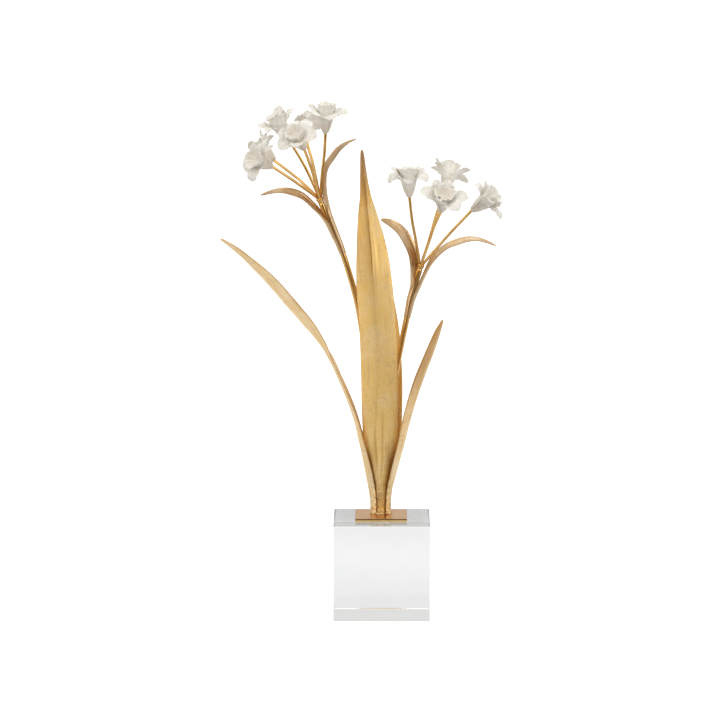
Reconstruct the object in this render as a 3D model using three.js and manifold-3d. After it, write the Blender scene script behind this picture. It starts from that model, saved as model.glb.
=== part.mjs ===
// A gilded paperwhite narcissus standing on a clear block. Four sheet-metal leaves and two rod scapes
// rise from a brass plate, and each scape carries two bracts and a head of fired porcelain florets.
// Millimetres, +Z up, +X to the right and -Y towards the viewer. The origin is the middle of the
// block's underside.
import * as THREE from 'three';
import { LoftGeometry } from 'three/addons/geometries/LoftGeometry.js';
import { mergeVertices } from 'three/addons/utils/BufferGeometryUtils.js';
import Module from 'manifold-3d';

const wasm = await Module();
wasm.setup();

// Clearance left where one piece is soldered or glued to another, and the film of glue under the plate.
const SEAT_GAP = 0.3;
const GLUE_FILM = 0.05;

const BLOCK_SIDE = 76.2;
const BLOCK_CHAMFER = 0.8;
const PLATE_SIDE = 41;
const PLATE_THICKNESS = 2.4;
const PLATE_CHAMFER = 0.3;
const PLATE_CENTRE = { x: -0.5, y: 2 };

// The stalk is the bundle of leaf feet and rods, soldered to the plate a little behind its middle.
const STALK_CENTRE = { x: -0.8, y: 6 };
const WELD_HEIGHT = 1.6;
const WELD_FOOT_RADIUS = 6.8;
const WELD_TOP_RADIUS = 6.1;
const ROD_RADIUS = 2.4;
const ROD_SPACING = 5;

const LEAF_THICKNESS = 1.2;
const BRACT_THICKNESS = 0.6;
const BRACT_WRAP_RADIUS = ROD_RADIUS + SEAT_GAP + BRACT_THICKNESS;

const FERRULE_HEIGHT = 3;
const FERRULE_FOOT_RADIUS = 2.4;
const FERRULE_TOP_RADIUS = 3;
const PEDICEL_RADIUS = 1.2;
const PEDICEL_FOOT_RADIUS = 0.85;
const PEDICEL_RING_RADIUS = 1.85;
const PEDICEL_STRAIGHT = 1;
const FLORET_FOOT_RADIUS = 2.3;

// Mesh resolution.
const LEAF_STATIONS = 22;
const LEAF_COLUMNS = 6;
const BRACT_STATIONS = 16;
const BRACT_COLUMNS = 6;
const ROD_STATIONS = 18;
const ROD_SIDES = 10;
const PEDICEL_STATIONS = 5;
const PEDICEL_SIDES = 8;
const PETAL_COLUMNS = 2;
const FUNNEL_SIDES = 12;

const gilt = { color: 0xd2a860, roughness: 0.42, metalness: 1 };
const materials = {
  acrylic: { color: 0xf1f3f4, roughness: 0.04, metalness: 0, transparent: true, opacity: 0.35 },
  plate: { color: 0xb98f5e, roughness: 0.3, metalness: 1 },
  gilt,
  rod: { ...gilt, color: 0xb8862f },
  bract: { ...gilt, color: 0xc09f72 },
  porcelain: { color: 0xe8e6e0, roughness: 0.75, metalness: 0 },
};

// Every spine is measured from the middle of the stalk's foot. A profile is a list of [place, value]
// pairs, where the place runs from 0 at the foot to 1 at the tip. turn is in degrees: at 0 a blade's
// outer face looks at the viewer, at 90 to the right and at -90 to the left. curl is how many degrees
// of arc the blade bends through from edge to edge.
const leaves = {
  leaf_center: {
    spine: [
      [0, -4.3, SEAT_GAP], [0, -4.3, 8], [0, -6.2, 34], [0, -9.2, 67], [-0.6, -11.2, 95],
      [-1.4, -12.8, 127], [-2.7, -13.5, 155], [-4.6, -13.5, 179], [-6.9, -12, 210.5],
      [-10.8, -9.5, 242], [-13.3, -7, 265.5], [-15, -4.5, 289],
    ],
    halfWidth: [
      [0, 4.8], [0.065, 5.5], [0.12, 10.5], [0.17, 13.6], [0.21, 14.6], [0.3, 14.8], [0.6, 14.8],
      [0.67, 14], [0.72, 12.6], [0.775, 10.4], [0.83, 7.4], [0.88, 4.4], [0.935, 2.6], [1, 0.8],
    ],
    turn: [[0, 0], [1, 6]],
    curl: [[0, 80], [0.12, 64], [0.2, 36], [0.3, 16], [0.85, 16], [1, 40]],
  },
  leaf_left: {
    spine: [
      [-8.1, 0, SEAT_GAP], [-8.1, 0, 8], [-9.2, 0, 17], [-10.9, -0.4, 25], [-14, -1.4, 41.5],
      [-17.2, -3, 57.5], [-20.8, -5, 73.5], [-25.4, -7.5, 88], [-32.6, -11, 106.5],
      [-39.7, -14, 123], [-49.5, -17.5, 139.5], [-60.8, -21, 155.5], [-74.2, -25, 172],
      [-87.5, -28, 188], [-103.6, -31, 204.5], [-112.8, -32.5, 213], [-124.8, -34, 222],
    ],
    halfWidth: [
      [0, 7.6], [0.06, 8.3], [0.12, 9.2], [0.3, 9.7], [0.45, 10.4], [0.6, 11], [0.73, 11],
      [0.81, 10], [0.9, 6.6], [0.95, 4.4], [1, 1.4],
    ],
    turn: [[0, -90], [0.49, -90], [0.56, -73], [0.64, -63], [1, -60]],
    curl: [[0, 156], [0.1, 160], [0.16, 128], [0.23, 90], [0.35, 56], [0.5, 34], [0.8, 24], [1, 20]],
  },
  leaf_right: {
    spine: [
      [7.9, 0, SEAT_GAP], [7.9, 0, 8], [8.9, -0.2, 18], [11.2, -0.8, 27], [14.5, -2, 40.5],
      [16.8, -3, 49.5], [19.2, -4.2, 59.5], [22, -5.5, 72.5], [26.4, -8, 90],
      [31.8, -11, 107.5], [40.1, -15, 131], [45.7, -18, 148], [48.6, -19, 156],
    ],
    halfWidth: [
      [0, 6.8], [0.1, 7.2], [0.2, 7.8], [0.35, 8.6], [0.5, 9.4], [0.7, 9.6], [0.84, 7.6],
      [0.94, 4.4], [1, 0.8],
    ],
    turn: [[0, 90], [0.08, 90], [0.18, 84], [0.36, 78], [0.55, 68], [0.8, 64], [1, 58]],
    curl: [[0, 140], [0.12, 132], [0.24, 112], [0.38, 82], [0.55, 44], [1, 22]],
  },
  leaf_rear: {
    spine: [
      [0, 4.3, SEAT_GAP], [0, 4.3, 8], [0.4, 7, 32], [2.6, 10, 63.5], [3.2, 14, 95],
      [3.5, 18, 126.5], [4.1, 21.5, 158], [4.8, 23.5, 186],
    ],
    halfWidth: [
      [0, 4.8], [0.13, 5.1], [0.2, 7.4], [0.27, 11.4], [0.36, 14.2], [0.5, 14.4], [0.64, 13.4],
      [0.75, 11.6], [0.87, 7.4], [0.95, 3.8], [1, 1],
    ],
    turn: [[0, 180], [1, 180]],
    curl: [[0, 80], [0.15, 66], [0.3, 36], [0.45, 20], [1, 20]],
  },
};

// A floret's foot is measured from the top of its scape, and facing is the way its mouth looks.
// hugs lists how far below the top of the scape a bract follows it, and tip the rest of its spine,
// measured from the top of the scape too.
const heads = {
  left: {
    scape: [
      [-ROD_SPACING / 2, 0, SEAT_GAP], [-ROD_SPACING / 2, 0, 8], [-3.2, -0.2, 33], [-6.3, -0.8, 73.5],
      [-10.3, -1.4, 105.5], [-14.8, -2, 145.5], [-19.1, -2.4, 169.5], [-28.2, -3, 201.5],
      [-34.1, -3.3, 217.5], [-40, -3.7, 230], [-47, -4, 247.2],
    ],
    florets: [
      { foot: [-39.1, -16, 30.7], facing: [-0.68, -0.62, 0.39], roll: 10 },
      { foot: [-38.2, 18, 32], facing: [-0.7, 0.45, 0.55], roll: 40 },
      { foot: [-26.3, 2, 50.5], facing: [-0.5, -0.15, 0.85], roll: 20, central: true },
      { foot: [-13.3, -28, 46.4], facing: [-0.35, -0.62, 0.7], roll: 0 },
      { foot: [-11.5, 19, 47.2], facing: [0.12, 0.6, 0.79], roll: 30 },
      { foot: [3.6, -2, 56.3], facing: [0.03, -0.1, 0.99], roll: 50 },
    ],
    bracts: {
      left: {
        side: -1,
        breadth: 1.1,
        hugs: [44, 36, 28],
        tip: [
          [3.2, 0, -16.6], [-1.6, -1, -9.6], [-8.6, -2, -1.8], [-15.8, -3.8, 4.8], [-24, -5.8, 8.2],
          [-32, -8, 9.6], [-39.8, -10, 8.8], [-47.1, -12, 7.1],
        ],
      },
      right: {
        side: 1,
        breadth: 1.1,
        hugs: [44, 36, 28],
        tip: [
          [9.2, 1, -11.7], [6.6, 1.6, -3], [4.4, 2.4, 7], [3.6, 3.4, 17.4], [5.1, 4.5, 27.2],
          [9.7, 5.4, 34.8], [14.2, 6.5, 41], [20.8, 7.5, 46.1], [27.6, 8.4, 49.2],
        ],
      },
    },
  },
  right: {
    scape: [
      [ROD_SPACING / 2, 0, SEAT_GAP], [ROD_SPACING / 2, 0, 8], [3.6, 0.2, 33], [6.1, 0.8, 73],
      [10.8, 1.6, 105], [18.5, 2.6, 145], [25.2, 3.4, 175], [30.6, 4, 193.8],
    ],
    florets: [
      { foot: [-8.3, -8, 59.3], facing: [-0.05, 0, 1], roll: 0 },
      { foot: [16.7, -32, 50.7], facing: [0.12, -0.62, 0.77], roll: 0 },
      { foot: [20.6, 22, 61.5], facing: [0.2, 0.62, 0.76], roll: 15 },
      { foot: [41.8, -6, 47.6], facing: [0.78, -0.2, 0.59], roll: 45 },
    ],
    bracts: {
      left: {
        side: -1,
        breadth: 1.7,
        hugs: [40, 32, 25],
        tip: [
          [-7.4, -0.5, -13.8], [-7.2, -1.2, -5.5], [-6.8, -2.1, 4], [-7.8, -3.3, 13.6],
          [-11.9, -4.6, 23], [-17, -6.1, 31], [-22.9, -7.8, 36.3], [-30.7, -10, 40.2],
        ],
      },
      right: {
        side: 1,
        breadth: 1,
        hugs: [40, 32, 25],
        tip: [
          [1.8, 0, -12.3], [5.2, 0.5, -4.6], [10, 1, 4.4], [15.5, 1.8, 11.2], [22.6, 2.9, 16.8],
          [29.7, 4.2, 19.6], [37.9, 5.2, 21.9], [46.1, 6.2, 22], [53.4, 7.1, 20], [60.1, 8, 17.1],
        ],
      },
    },
  },
};

// Every bract has these profiles, with the turn mirrored on the left side, and its free part as many
// times as wide as its breadth says.
const bractProfiles = {
  halfWidth: [[0, 4.4], [0.25, 4.4], [0.45, 5], [0.7, 4.8], [0.85, 3.4], [0.95, 1.8], [1, 0.6]],
  turn: [[0, 90], [0.3, 90], [0.5, 110], [1, 118]],
  curl: [[0, 168], [0.25, 160], [0.4, 110], [0.6, 84], [1, 40]],
};

// A floret is measured from the middle of its rounded foot, with its mouth along +Z. The outline
// goes up the outside of the funnel and the cup on it, over the rim, and down inside to the throat.
const funnelOutline = [
  [0, -2.3], [1.6, -1.65], [2.3, 0], [3.8, 4], [5, 8], [6.4, 12], [6.4, 17], [7.4, 22.5],
  [6.5, 22.3], [5.5, 17], [5.2, 13], [0, 9.5],
];
// Each petal is a short blade that starts inside the funnel's wall. A spine point is its distance
// from the floret's axis and its height.
const petalKinds = [
  {
    spine: [[5.7, 12.8], [9.4, 14.8], [13.8, 14.2], [17.2, 11.4]],
    halfWidth: [[0, 2.4], [0.35, 4], [0.75, 3.6], [1, 0.8]],
  },
  {
    spine: [[5.8, 14.8], [9.2, 18.2], [13, 20.6], [16.6, 21.6]],
    halfWidth: [[0, 2.2], [0.35, 3.7], [0.75, 3.2], [1, 0.7]],
  },
];
const PETAL_THICKNESS = 0.9;
const PETALS_PER_KIND = 3;

const vector = ([x, y, z]) => new THREE.Vector3(x, y, z);
const curveThrough = (points) => new THREE.CatmullRomCurve3(points);

// The value of a profile at a place, in straight steps between its pairs.
function valueAt(profile, place) {
  const next = profile.findIndex(([at]) => at >= place);
  if (next < 1) {
    return profile.at(next)[1];
  }
  const [before, value] = profile[next - 1];
  const [after, nextValue] = profile[next];
  return THREE.MathUtils.mapLinear(place, before, after, value, nextValue);
}

// The point of a curve at a place, with the directions along it, across the blade and out of its
// outer face.
function frameAt(curve, place, turn) {
  const centre = curve.getPointAt(place);
  const along = curve.getTangentAt(place);
  const back = new THREE.Vector3(0, 1, 0).addScaledVector(along, -along.y).normalize();
  const side = new THREE.Vector3().crossVectors(back, along);
  const across = side.multiplyScalar(Math.cos(turn)).addScaledVector(back, Math.sin(turn));
  const out = new THREE.Vector3().crossVectors(across, along);
  return { centre, along, across, out };
}

const offsetFrom = ({ centre, across, out }, sideways, outwards) =>
  centre.clone().addScaledVector(across, sideways).addScaledVector(out, outwards);

// A blade of sheet bent about its spine: each section is an arc of the given curl, so its edges
// stand behind its middle.
function bladeGeometry({ spine, halfWidth, turn, curl, thickness, stations, columns }) {
  const sections = Array.from({ length: stations + 1 }, (_, row) => {
    const place = row / stations;
    const frame = frameAt(spine, place, THREE.MathUtils.degToRad(valueAt(turn, place)));
    const halfCurl = THREE.MathUtils.degToRad(valueAt(curl, place)) / 2;
    const radius = valueAt(halfWidth, place) / halfCurl;
    const layer = (depth) =>
      Array.from({ length: columns + 1 }, (_, column) => {
        const angle = halfCurl * ((2 * column) / columns - 1);
        const reach = radius + depth;
        return offsetFrom(frame, reach * Math.sin(angle), reach * Math.cos(angle) - radius);
      });
    return [...layer(thickness / 2), ...layer(-thickness / 2).reverse()];
  });
  return new LoftGeometry(sections, { capStart: true, capEnd: true });
}

// A round rod along a curve. A domed one ends in half a ball, centred on the end of the curve.
function rodGeometry({ curve, radius, stations, sides, domed = false }) {
  const ring = (frame, ringRadius, ahead) =>
    Array.from({ length: sides }, (_, side) => {
      const angle = (2 * Math.PI * side) / sides;
      const sideways = ringRadius * Math.sin(angle);
      return offsetFrom(frame, sideways, ringRadius * Math.cos(angle)).addScaledVector(frame.along, ahead);
    });
  const sections = Array.from({ length: stations + 1 }, (_, row) => {
    const place = row / stations;
    return ring(frameAt(curve, place, 0), radius(place), 0);
  });
  const domeAngles = domed ? [30, 60, 80] : [];
  for (const angle of domeAngles.map(THREE.MathUtils.degToRad)) {
    const end = radius(1);
    sections.push(ring(frameAt(curve, 1, 0), end * Math.cos(angle), end * Math.sin(angle)));
  }
  return new LoftGeometry(sections, { capStart: true, capEnd: true });
}

// A square slab with chamfered edges, resting on z = 0.
function slabGeometry(side, height, chamfer) {
  const half = side / 2 - chamfer;
  const outline = new THREE.Shape([
    new THREE.Vector2(-half, -half),
    new THREE.Vector2(half, -half),
    new THREE.Vector2(half, half),
    new THREE.Vector2(-half, half),
  ]);
  const options = {
    depth: height - 2 * chamfer,
    bevelThickness: chamfer,
    bevelSize: chamfer,
    bevelSegments: 1,
  };
  return new THREE.ExtrudeGeometry(outline, options).translate(0, 0, chamfer);
}

// The solder pad under the stalk: an oval as long as the rods are apart, narrower at the top.
function weldGeometry() {
  const oval = (radius, height) =>
    Array.from({ length: 16 }, (_, corner) => {
      const angle = ((corner + 0.5) * Math.PI) / 8;
      const shift = (Math.sign(Math.cos(angle)) * ROD_SPACING) / 2;
      return new THREE.Vector3(shift + radius * Math.cos(angle), radius * Math.sin(angle), height);
    });
  const sections = [oval(WELD_FOOT_RADIUS, 0), oval(WELD_TOP_RADIUS, WELD_HEIGHT)];
  return new LoftGeometry(sections, { capStart: true, capEnd: true });
}

function ferruleGeometry() {
  const outline = [
    new THREE.Vector2(0, 0),
    new THREE.Vector2(FERRULE_FOOT_RADIUS, 0),
    new THREE.Vector2(FERRULE_TOP_RADIUS, FERRULE_HEIGHT * 0.75),
    new THREE.Vector2(FERRULE_TOP_RADIUS - 0.3, FERRULE_HEIGHT),
    new THREE.Vector2(0, FERRULE_HEIGHT),
  ];
  return new THREE.LatheGeometry(outline, FUNNEL_SIDES).rotateX(Math.PI / 2);
}

function solidOf(geometry) {
  const bare = new THREE.BufferGeometry();
  bare.setAttribute('position', geometry.attributes.position);
  bare.setIndex(geometry.index);
  const merged = mergeVertices(bare);
  const mesh = new wasm.Mesh({
    numProp: 3,
    vertProperties: merged.attributes.position.array,
    triVerts: new Uint32Array(merged.index.array),
  });
  return new wasm.Manifold(mesh);
}

function joinedGeometry(geometries) {
  const whole = geometries.map(solidOf).reduce((sum, next) => sum.add(next)).getMesh();
  const geometry = new THREE.BufferGeometry();
  geometry.setAttribute('position', new THREE.BufferAttribute(whole.vertProperties, 3));
  geometry.setIndex(new THREE.BufferAttribute(whole.triVerts, 1));
  geometry.computeVertexNormals();
  return geometry;
}

function petalGeometry(kind) {
  return bladeGeometry({
    spine: curveThrough(kind.spine.map(([reach, height]) => new THREE.Vector3(reach, 0, height))),
    halfWidth: kind.halfWidth,
    turn: [[0, 90]],
    curl: [[0, 50], [1, 20]],
    thickness: PETAL_THICKNESS,
    stations: 4,
    columns: PETAL_COLUMNS,
  });
}

// One fired floret: the funnel with its cup, three outer petals, and three inner ones between them.
function floretGeometry() {
  const outline = funnelOutline.map(([radius, height]) => new THREE.Vector2(radius, height));
  const funnel = new THREE.LatheGeometry(outline, FUNNEL_SIDES).rotateX(Math.PI / 2);
  const petals = petalKinds.flatMap((kind, row) =>
    Array.from({ length: PETALS_PER_KIND }, (_, petal) => {
      const angle = ((2 * petal + row) * Math.PI) / PETALS_PER_KIND;
      return petalGeometry(kind).rotateZ(angle);
    }),
  );
  return joinedGeometry([funnel, ...petals]);
}

function addMesh(parent, name, geometry, look) {
  const mesh = new THREE.Mesh(geometry, new THREE.MeshStandardMaterial(look));
  mesh.name = name;
  parent.add(mesh);
  return mesh;
}

function addLeaves(parent) {
  for (const [name, { spine, ...profiles }] of Object.entries(leaves)) {
    const geometry = bladeGeometry({
      ...profiles,
      spine: curveThrough(spine.map(vector)),
      thickness: LEAF_THICKNESS,
      stations: LEAF_STATIONS,
      columns: LEAF_COLUMNS,
    });
    addMesh(parent, name, geometry, materials.gilt);
  }
}

// A bract clasps its side of the scape at first, then arches away from it.
function addBract(parent, name, scape, { side, breadth, hugs, tip }) {
  const length = scape.getLength();
  const top = scape.getPoint(1);
  const clasped = hugs.map((below) => {
    const frame = frameAt(scape, 1 - below / length, 0);
    return offsetFrom(frame, side * BRACT_WRAP_RADIUS, 0);
  });
  const free = tip.map((point) => vector(point).add(top));
  const geometry = bladeGeometry({
    ...bractProfiles,
    halfWidth: bractProfiles.halfWidth.map(([place, half]) => [
      place,
      half * THREE.MathUtils.lerp(1, breadth, THREE.MathUtils.smoothstep(place, 0.25, 0.5)),
    ]),
    turn: bractProfiles.turn.map(([place, angle]) => [place, side * angle]),
    spine: curveThrough([...clasped, ...free]),
    thickness: BRACT_THICKNESS,
    stations: BRACT_STATIONS,
    columns: BRACT_COLUMNS,
  });
  addMesh(parent, name, geometry, materials.bract);
}

// A pedicel starts straight up from its place on the ferrule, then bends over to its floret's foot.
function pedicelCurve({ foot, central = false }, seat, along) {
  const target = vector(foot);
  const outwards = target.clone().addScaledVector(along, -target.dot(along)).normalize();
  const start = seat.clone().addScaledVector(outwards, central ? 0 : PEDICEL_RING_RADIUS);
  const bend = start.clone().addScaledVector(along, PEDICEL_STRAIGHT);
  const apart = PEDICEL_RADIUS + SEAT_GAP + FLORET_FOOT_RADIUS;
  const end = target.clone().add(bend.clone().sub(target).setLength(apart));
  return curveThrough([start, bend, end]);
}

function addHead(parent, headName, { scape: points, florets, bracts }) {
  const scape = curveThrough(points.map(vector));
  const rod = { curve: scape, radius: () => ROD_RADIUS, stations: ROD_STATIONS, sides: ROD_SIDES };
  addMesh(parent, `scape_${headName}`, rodGeometry(rod), materials.rod);
  for (const [side, bract] of Object.entries(bracts)) {
    addBract(parent, `bract_${headName}_${side}`, scape, bract);
  }

  const head = new THREE.Group();
  head.position.copy(scape.getPoint(1));
  parent.add(head);
  const along = scape.getTangentAt(1);
  const up = new THREE.Vector3(0, 0, 1);
  const ferrule = addMesh(head, `ferrule_${headName}`, ferruleGeometry(), materials.rod);
  ferrule.position.copy(along).multiplyScalar(SEAT_GAP);
  ferrule.quaternion.setFromUnitVectors(up, along);

  const seat = along.clone().multiplyScalar(FERRULE_HEIGHT + 2 * SEAT_GAP);
  const swell = [[0, PEDICEL_FOOT_RADIUS], [0.2, PEDICEL_RADIUS], [1, PEDICEL_RADIUS]];
  florets.forEach((floret, index) => {
    const pedicel = rodGeometry({
      curve: pedicelCurve(floret, seat, along),
      radius: (place) => valueAt(swell, place),
      stations: PEDICEL_STATIONS,
      sides: PEDICEL_SIDES,
      domed: true,
    });
    addMesh(head, `pedicel_${headName}_${index + 1}`, pedicel, materials.rod);

    const flower = addMesh(head, `floret_${headName}_${index + 1}`, floretGeometry(), materials.porcelain);
    flower.position.set(...floret.foot);
    flower.quaternion.setFromUnitVectors(up, vector(floret.facing).normalize());
    flower.rotateZ(THREE.MathUtils.degToRad(floret.roll));
  });
}

const ornament = new THREE.Group();

addMesh(ornament, 'clear_block', slabGeometry(BLOCK_SIDE, BLOCK_SIDE, BLOCK_CHAMFER), materials.acrylic);

const plate = addMesh(
  ornament,
  'base_plate',
  slabGeometry(PLATE_SIDE, PLATE_THICKNESS, PLATE_CHAMFER),
  materials.plate,
);
plate.position.set(PLATE_CENTRE.x, PLATE_CENTRE.y, BLOCK_SIDE + GLUE_FILM);

const stalk = new THREE.Group();
stalk.position.set(STALK_CENTRE.x, STALK_CENTRE.y, plate.position.z + PLATE_THICKNESS + WELD_HEIGHT);
ornament.add(stalk);

const weld = addMesh(stalk, 'foot_weld', weldGeometry(), materials.rod);
weld.position.z = -WELD_HEIGHT;
addLeaves(stalk);
for (const [name, head] of Object.entries(heads)) {
  addHead(stalk, name, head);
}

export default ornament;
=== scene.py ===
"""A gilded paperwhite narcissus with fired porcelain florets, on a brass plate and a clear block.

Every shape is worked out in millimetres, +Z up and -Y towards the viewer, and put into its mesh in
metres. A shape is one or more closed skins: rows of loops, wrapped across and drawn to a point at
both ends.
"""

import logging
from dataclasses import dataclass, field, replace
from enum import Enum
from typing import Callable, Iterable, Sequence

import bpy
import numpy as np
from mathutils import Matrix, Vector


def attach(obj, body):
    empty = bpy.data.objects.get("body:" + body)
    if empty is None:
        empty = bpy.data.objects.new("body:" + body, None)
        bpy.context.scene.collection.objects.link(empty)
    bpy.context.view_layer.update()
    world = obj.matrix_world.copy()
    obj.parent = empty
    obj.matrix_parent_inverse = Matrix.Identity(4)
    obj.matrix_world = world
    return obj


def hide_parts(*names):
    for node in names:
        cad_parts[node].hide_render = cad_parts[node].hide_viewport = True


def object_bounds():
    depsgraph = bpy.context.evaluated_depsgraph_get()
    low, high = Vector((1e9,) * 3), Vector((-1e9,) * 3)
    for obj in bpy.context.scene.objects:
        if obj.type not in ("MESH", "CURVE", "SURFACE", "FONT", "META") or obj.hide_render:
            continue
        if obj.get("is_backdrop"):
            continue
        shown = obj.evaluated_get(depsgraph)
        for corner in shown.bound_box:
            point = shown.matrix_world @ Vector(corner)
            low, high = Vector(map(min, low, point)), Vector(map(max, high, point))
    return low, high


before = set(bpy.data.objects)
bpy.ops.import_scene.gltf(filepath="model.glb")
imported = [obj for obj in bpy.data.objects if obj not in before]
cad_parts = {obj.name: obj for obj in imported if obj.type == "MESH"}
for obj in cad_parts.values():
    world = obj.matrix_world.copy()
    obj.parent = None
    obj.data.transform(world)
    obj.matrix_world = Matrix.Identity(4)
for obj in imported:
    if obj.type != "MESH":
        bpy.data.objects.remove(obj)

LOG = logging.getLogger("ornament")

Array = np.ndarray
Point = tuple[float, float, float]
Stops = tuple[tuple[float, float], ...]
Colour = tuple[float, float, float]
Socket = bpy.types.NodeSocket
Material = bpy.types.Material

MM = 0.001
ROOT = "root"
GRAIN_MAP = "grain"
# The mesh attribute that carries painted shade, and on the solder an even darker colour.
SHADE_TONE = "tone"

UPWARDS = np.array([0.0, 0.0, 1.0])
AWAY = np.array([0.0, 1.0, 0.0])        # from the viewer
WHITE = (1.0, 1.0, 1.0)
BLACK = (0.0, 0.0, 0.0)
WHOLE_TURN = 6.28                       # radians, near enough for waves that start anywhere
NEAR_AXIS = 0.02                        # how close to its axis an outline's ends come

STALK_FOOT = np.array([-0.8, 6.0, 80.25])
PLATE_TOP = 78.65
ROD_RADIUS = 2.4
ROD_SPACING = 5.0                       # between the two rods' middles, at the stalk's foot


class Slot(Enum):
    """The record's material slots."""

    BLOCK = "clear_acrylic"
    PLATE = "brass_plate"
    GILT = "gilt_metal"
    PORCELAIN = "bisque_porcelain"


# ---- curves and profiles


@dataclass(frozen=True)
class Profile:
    """A number that changes along a piece, smooth between its stops and never past them."""

    stops: Stops

    def __call__(self, place: Array) -> Array:
        """Cubic steps between the stops, whose slopes are the harmonic means of the neighbours'.

        Args:
            place: Places along the piece, 0 at its foot and 1 at its tip.

        Returns:
            The number at each place.
        """
        at, value = np.array(self.stops, float).T
        place = np.asarray(place, float)
        if len(at) == 1:
            return np.full_like(place, value[0])
        gap = np.diff(at)
        slope = np.diff(value) / gap
        same_way = slope[1:] * slope[:-1] > 0
        both = np.where(same_way, slope[1:] + slope[:-1], 1.0)
        middle = np.where(same_way, 2 * slope[1:] * slope[:-1] / both, 0.0)
        tilt = np.concatenate([slope[:1], middle, slope[-1:]])
        span = np.clip(np.searchsorted(at, place) - 1, 0, len(gap) - 1)
        t = np.clip((place - at[span]) / gap[span], 0, 1)
        h = gap[span]
        return (
            value[span] * (1 + 2 * t) * (1 - t) ** 2
            + tilt[span] * h * t * (1 - t) ** 2
            + value[span + 1] * t * t * (3 - 2 * t)
            + tilt[span + 1] * h * t * t * (t - 1)
        )


def steady(value: float) -> Profile:
    """A profile that keeps one value."""
    return Profile(((0.0, value),))


class Spine:
    """A centripetal Catmull-Rom curve through points, walked by its arc length."""

    FINE = 60
    CLOSE = 0.006

    def __init__(self, points: Sequence[Point] | Array) -> None:
        """Lays out the fine points of the curve: between two points, a cubic that leaves and
        reaches them in the directions that the square roots of the gaps to their neighbours give.

        Args:
            points: The points that it goes through, in millimetres.
        """
        at = np.asarray(points, float)
        ends = np.vstack([2 * at[0] - at[1], at, 2 * at[-1] - at[-2]])
        p0, p1, p2, p3 = ends[:-3], ends[1:-2], ends[2:-1], ends[3:]
        pairs = ((p0, p1), (p1, p2), (p2, p3))
        before, here, after = (np.sqrt(np.linalg.norm(b - a, axis=1))[:, None] for a, b in pairs)
        leave = (p1 - p0) / before - (p2 - p0) / (before + here) + (p2 - p1) / here
        reach = (p2 - p1) / here - (p3 - p1) / (here + after) + (p3 - p2) / after
        leave, reach = leave * here, reach * here
        t = np.linspace(0, 1, self.FINE, endpoint=False)[None, :, None]
        p1, p2, leave, reach = (each[:, None, :] for each in (p1, p2, leave, reach))
        square = 3 * (p2 - p1) - 2 * leave - reach
        cube = 2 * (p1 - p2) + leave + reach
        fine = p1 + leave * t + square * t**2 + cube * t**3
        self.fine = np.vstack([fine.reshape(-1, 3), at[-1:]])
        steps = np.linalg.norm(np.diff(self.fine, axis=0), axis=1)
        self.walked = np.concatenate([[0.0], np.cumsum(steps)])
        self.length = float(self.walked[-1])

    def at(self, place: Array) -> Array:
        """The points at places from 0 to 1 along the curve."""
        walked = np.clip(np.atleast_1d(place), 0, 1) * self.length
        return np.stack([np.interp(walked, self.walked, part) for part in self.fine.T], -1)

    def along(self, place: Array) -> Array:
        """The curve's unit directions at places from 0 to 1, from points a little either side."""
        place = np.atleast_1d(place)
        return unit(self.at(place + self.CLOSE) - self.at(place - self.CLOSE))


def unit(vectors: Array) -> Array:
    """The vectors, each made one long."""
    return vectors / np.linalg.norm(vectors, axis=-1, keepdims=True)


def level_across(along: Array) -> Array:
    """The unit directions square to a curve's own and to the depth of the view."""
    return unit(np.cross(AWAY, along))


def circle(sides: int) -> Array:
    """The angles of so many points round a loop, from minus half a turn up, in one row."""
    return np.linspace(-np.pi, np.pi, sides, endpoint=False)[None, :]


def bump(x: Array, middle: float | Array, width: float | Array) -> Array:
    """A smooth bell: one at its middle, and falling away over its width."""
    return np.exp(-(((x - middle) / width) ** 2))


def ramp(x: Array, start: float, end: float) -> Array:
    """Zero up to start, one from end on, and smooth between them."""
    t = np.clip((x - start) / (end - start), 0, 1)
    return t * t * (3 - 2 * t)


def stretch(x: Array, start: float, end: float) -> Array:
    """One between a start and an end, and zero outside them, with soft beginnings and ends."""
    return ramp(x, start, start + 0.05) * (1 - ramp(x, end - 0.06, end))


def ripple(across: Array, along: Array, wavelength: float, seed: int) -> Array:
    """Hand-worked unevenness: seven plane waves of about one wavelength, in seeded directions, are
    added up and divided by four.

    Args:
        across: Distances across the piece, in millimetres.
        along: Distances along the piece, in millimetres.
        wavelength: The waves' usual length, in millimetres.
        seed: Chooses the waves' directions and phases.

    Returns:
        A height for each pair of distances, mostly between -1 and 1.
    """
    draw = np.random.default_rng(seed)
    total = np.zeros(np.broadcast(across, along).shape)
    for _ in range(7):
        heading, phase = draw.uniform(0, np.pi), draw.uniform(0, 2 * np.pi)
        wave = 2 * np.pi / (wavelength * draw.uniform(0.6, 1.7))
        total += np.sin(wave * (np.cos(heading) * across + np.sin(heading) * along) + phase)
    return total / 4


# ---- skins and meshes


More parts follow.
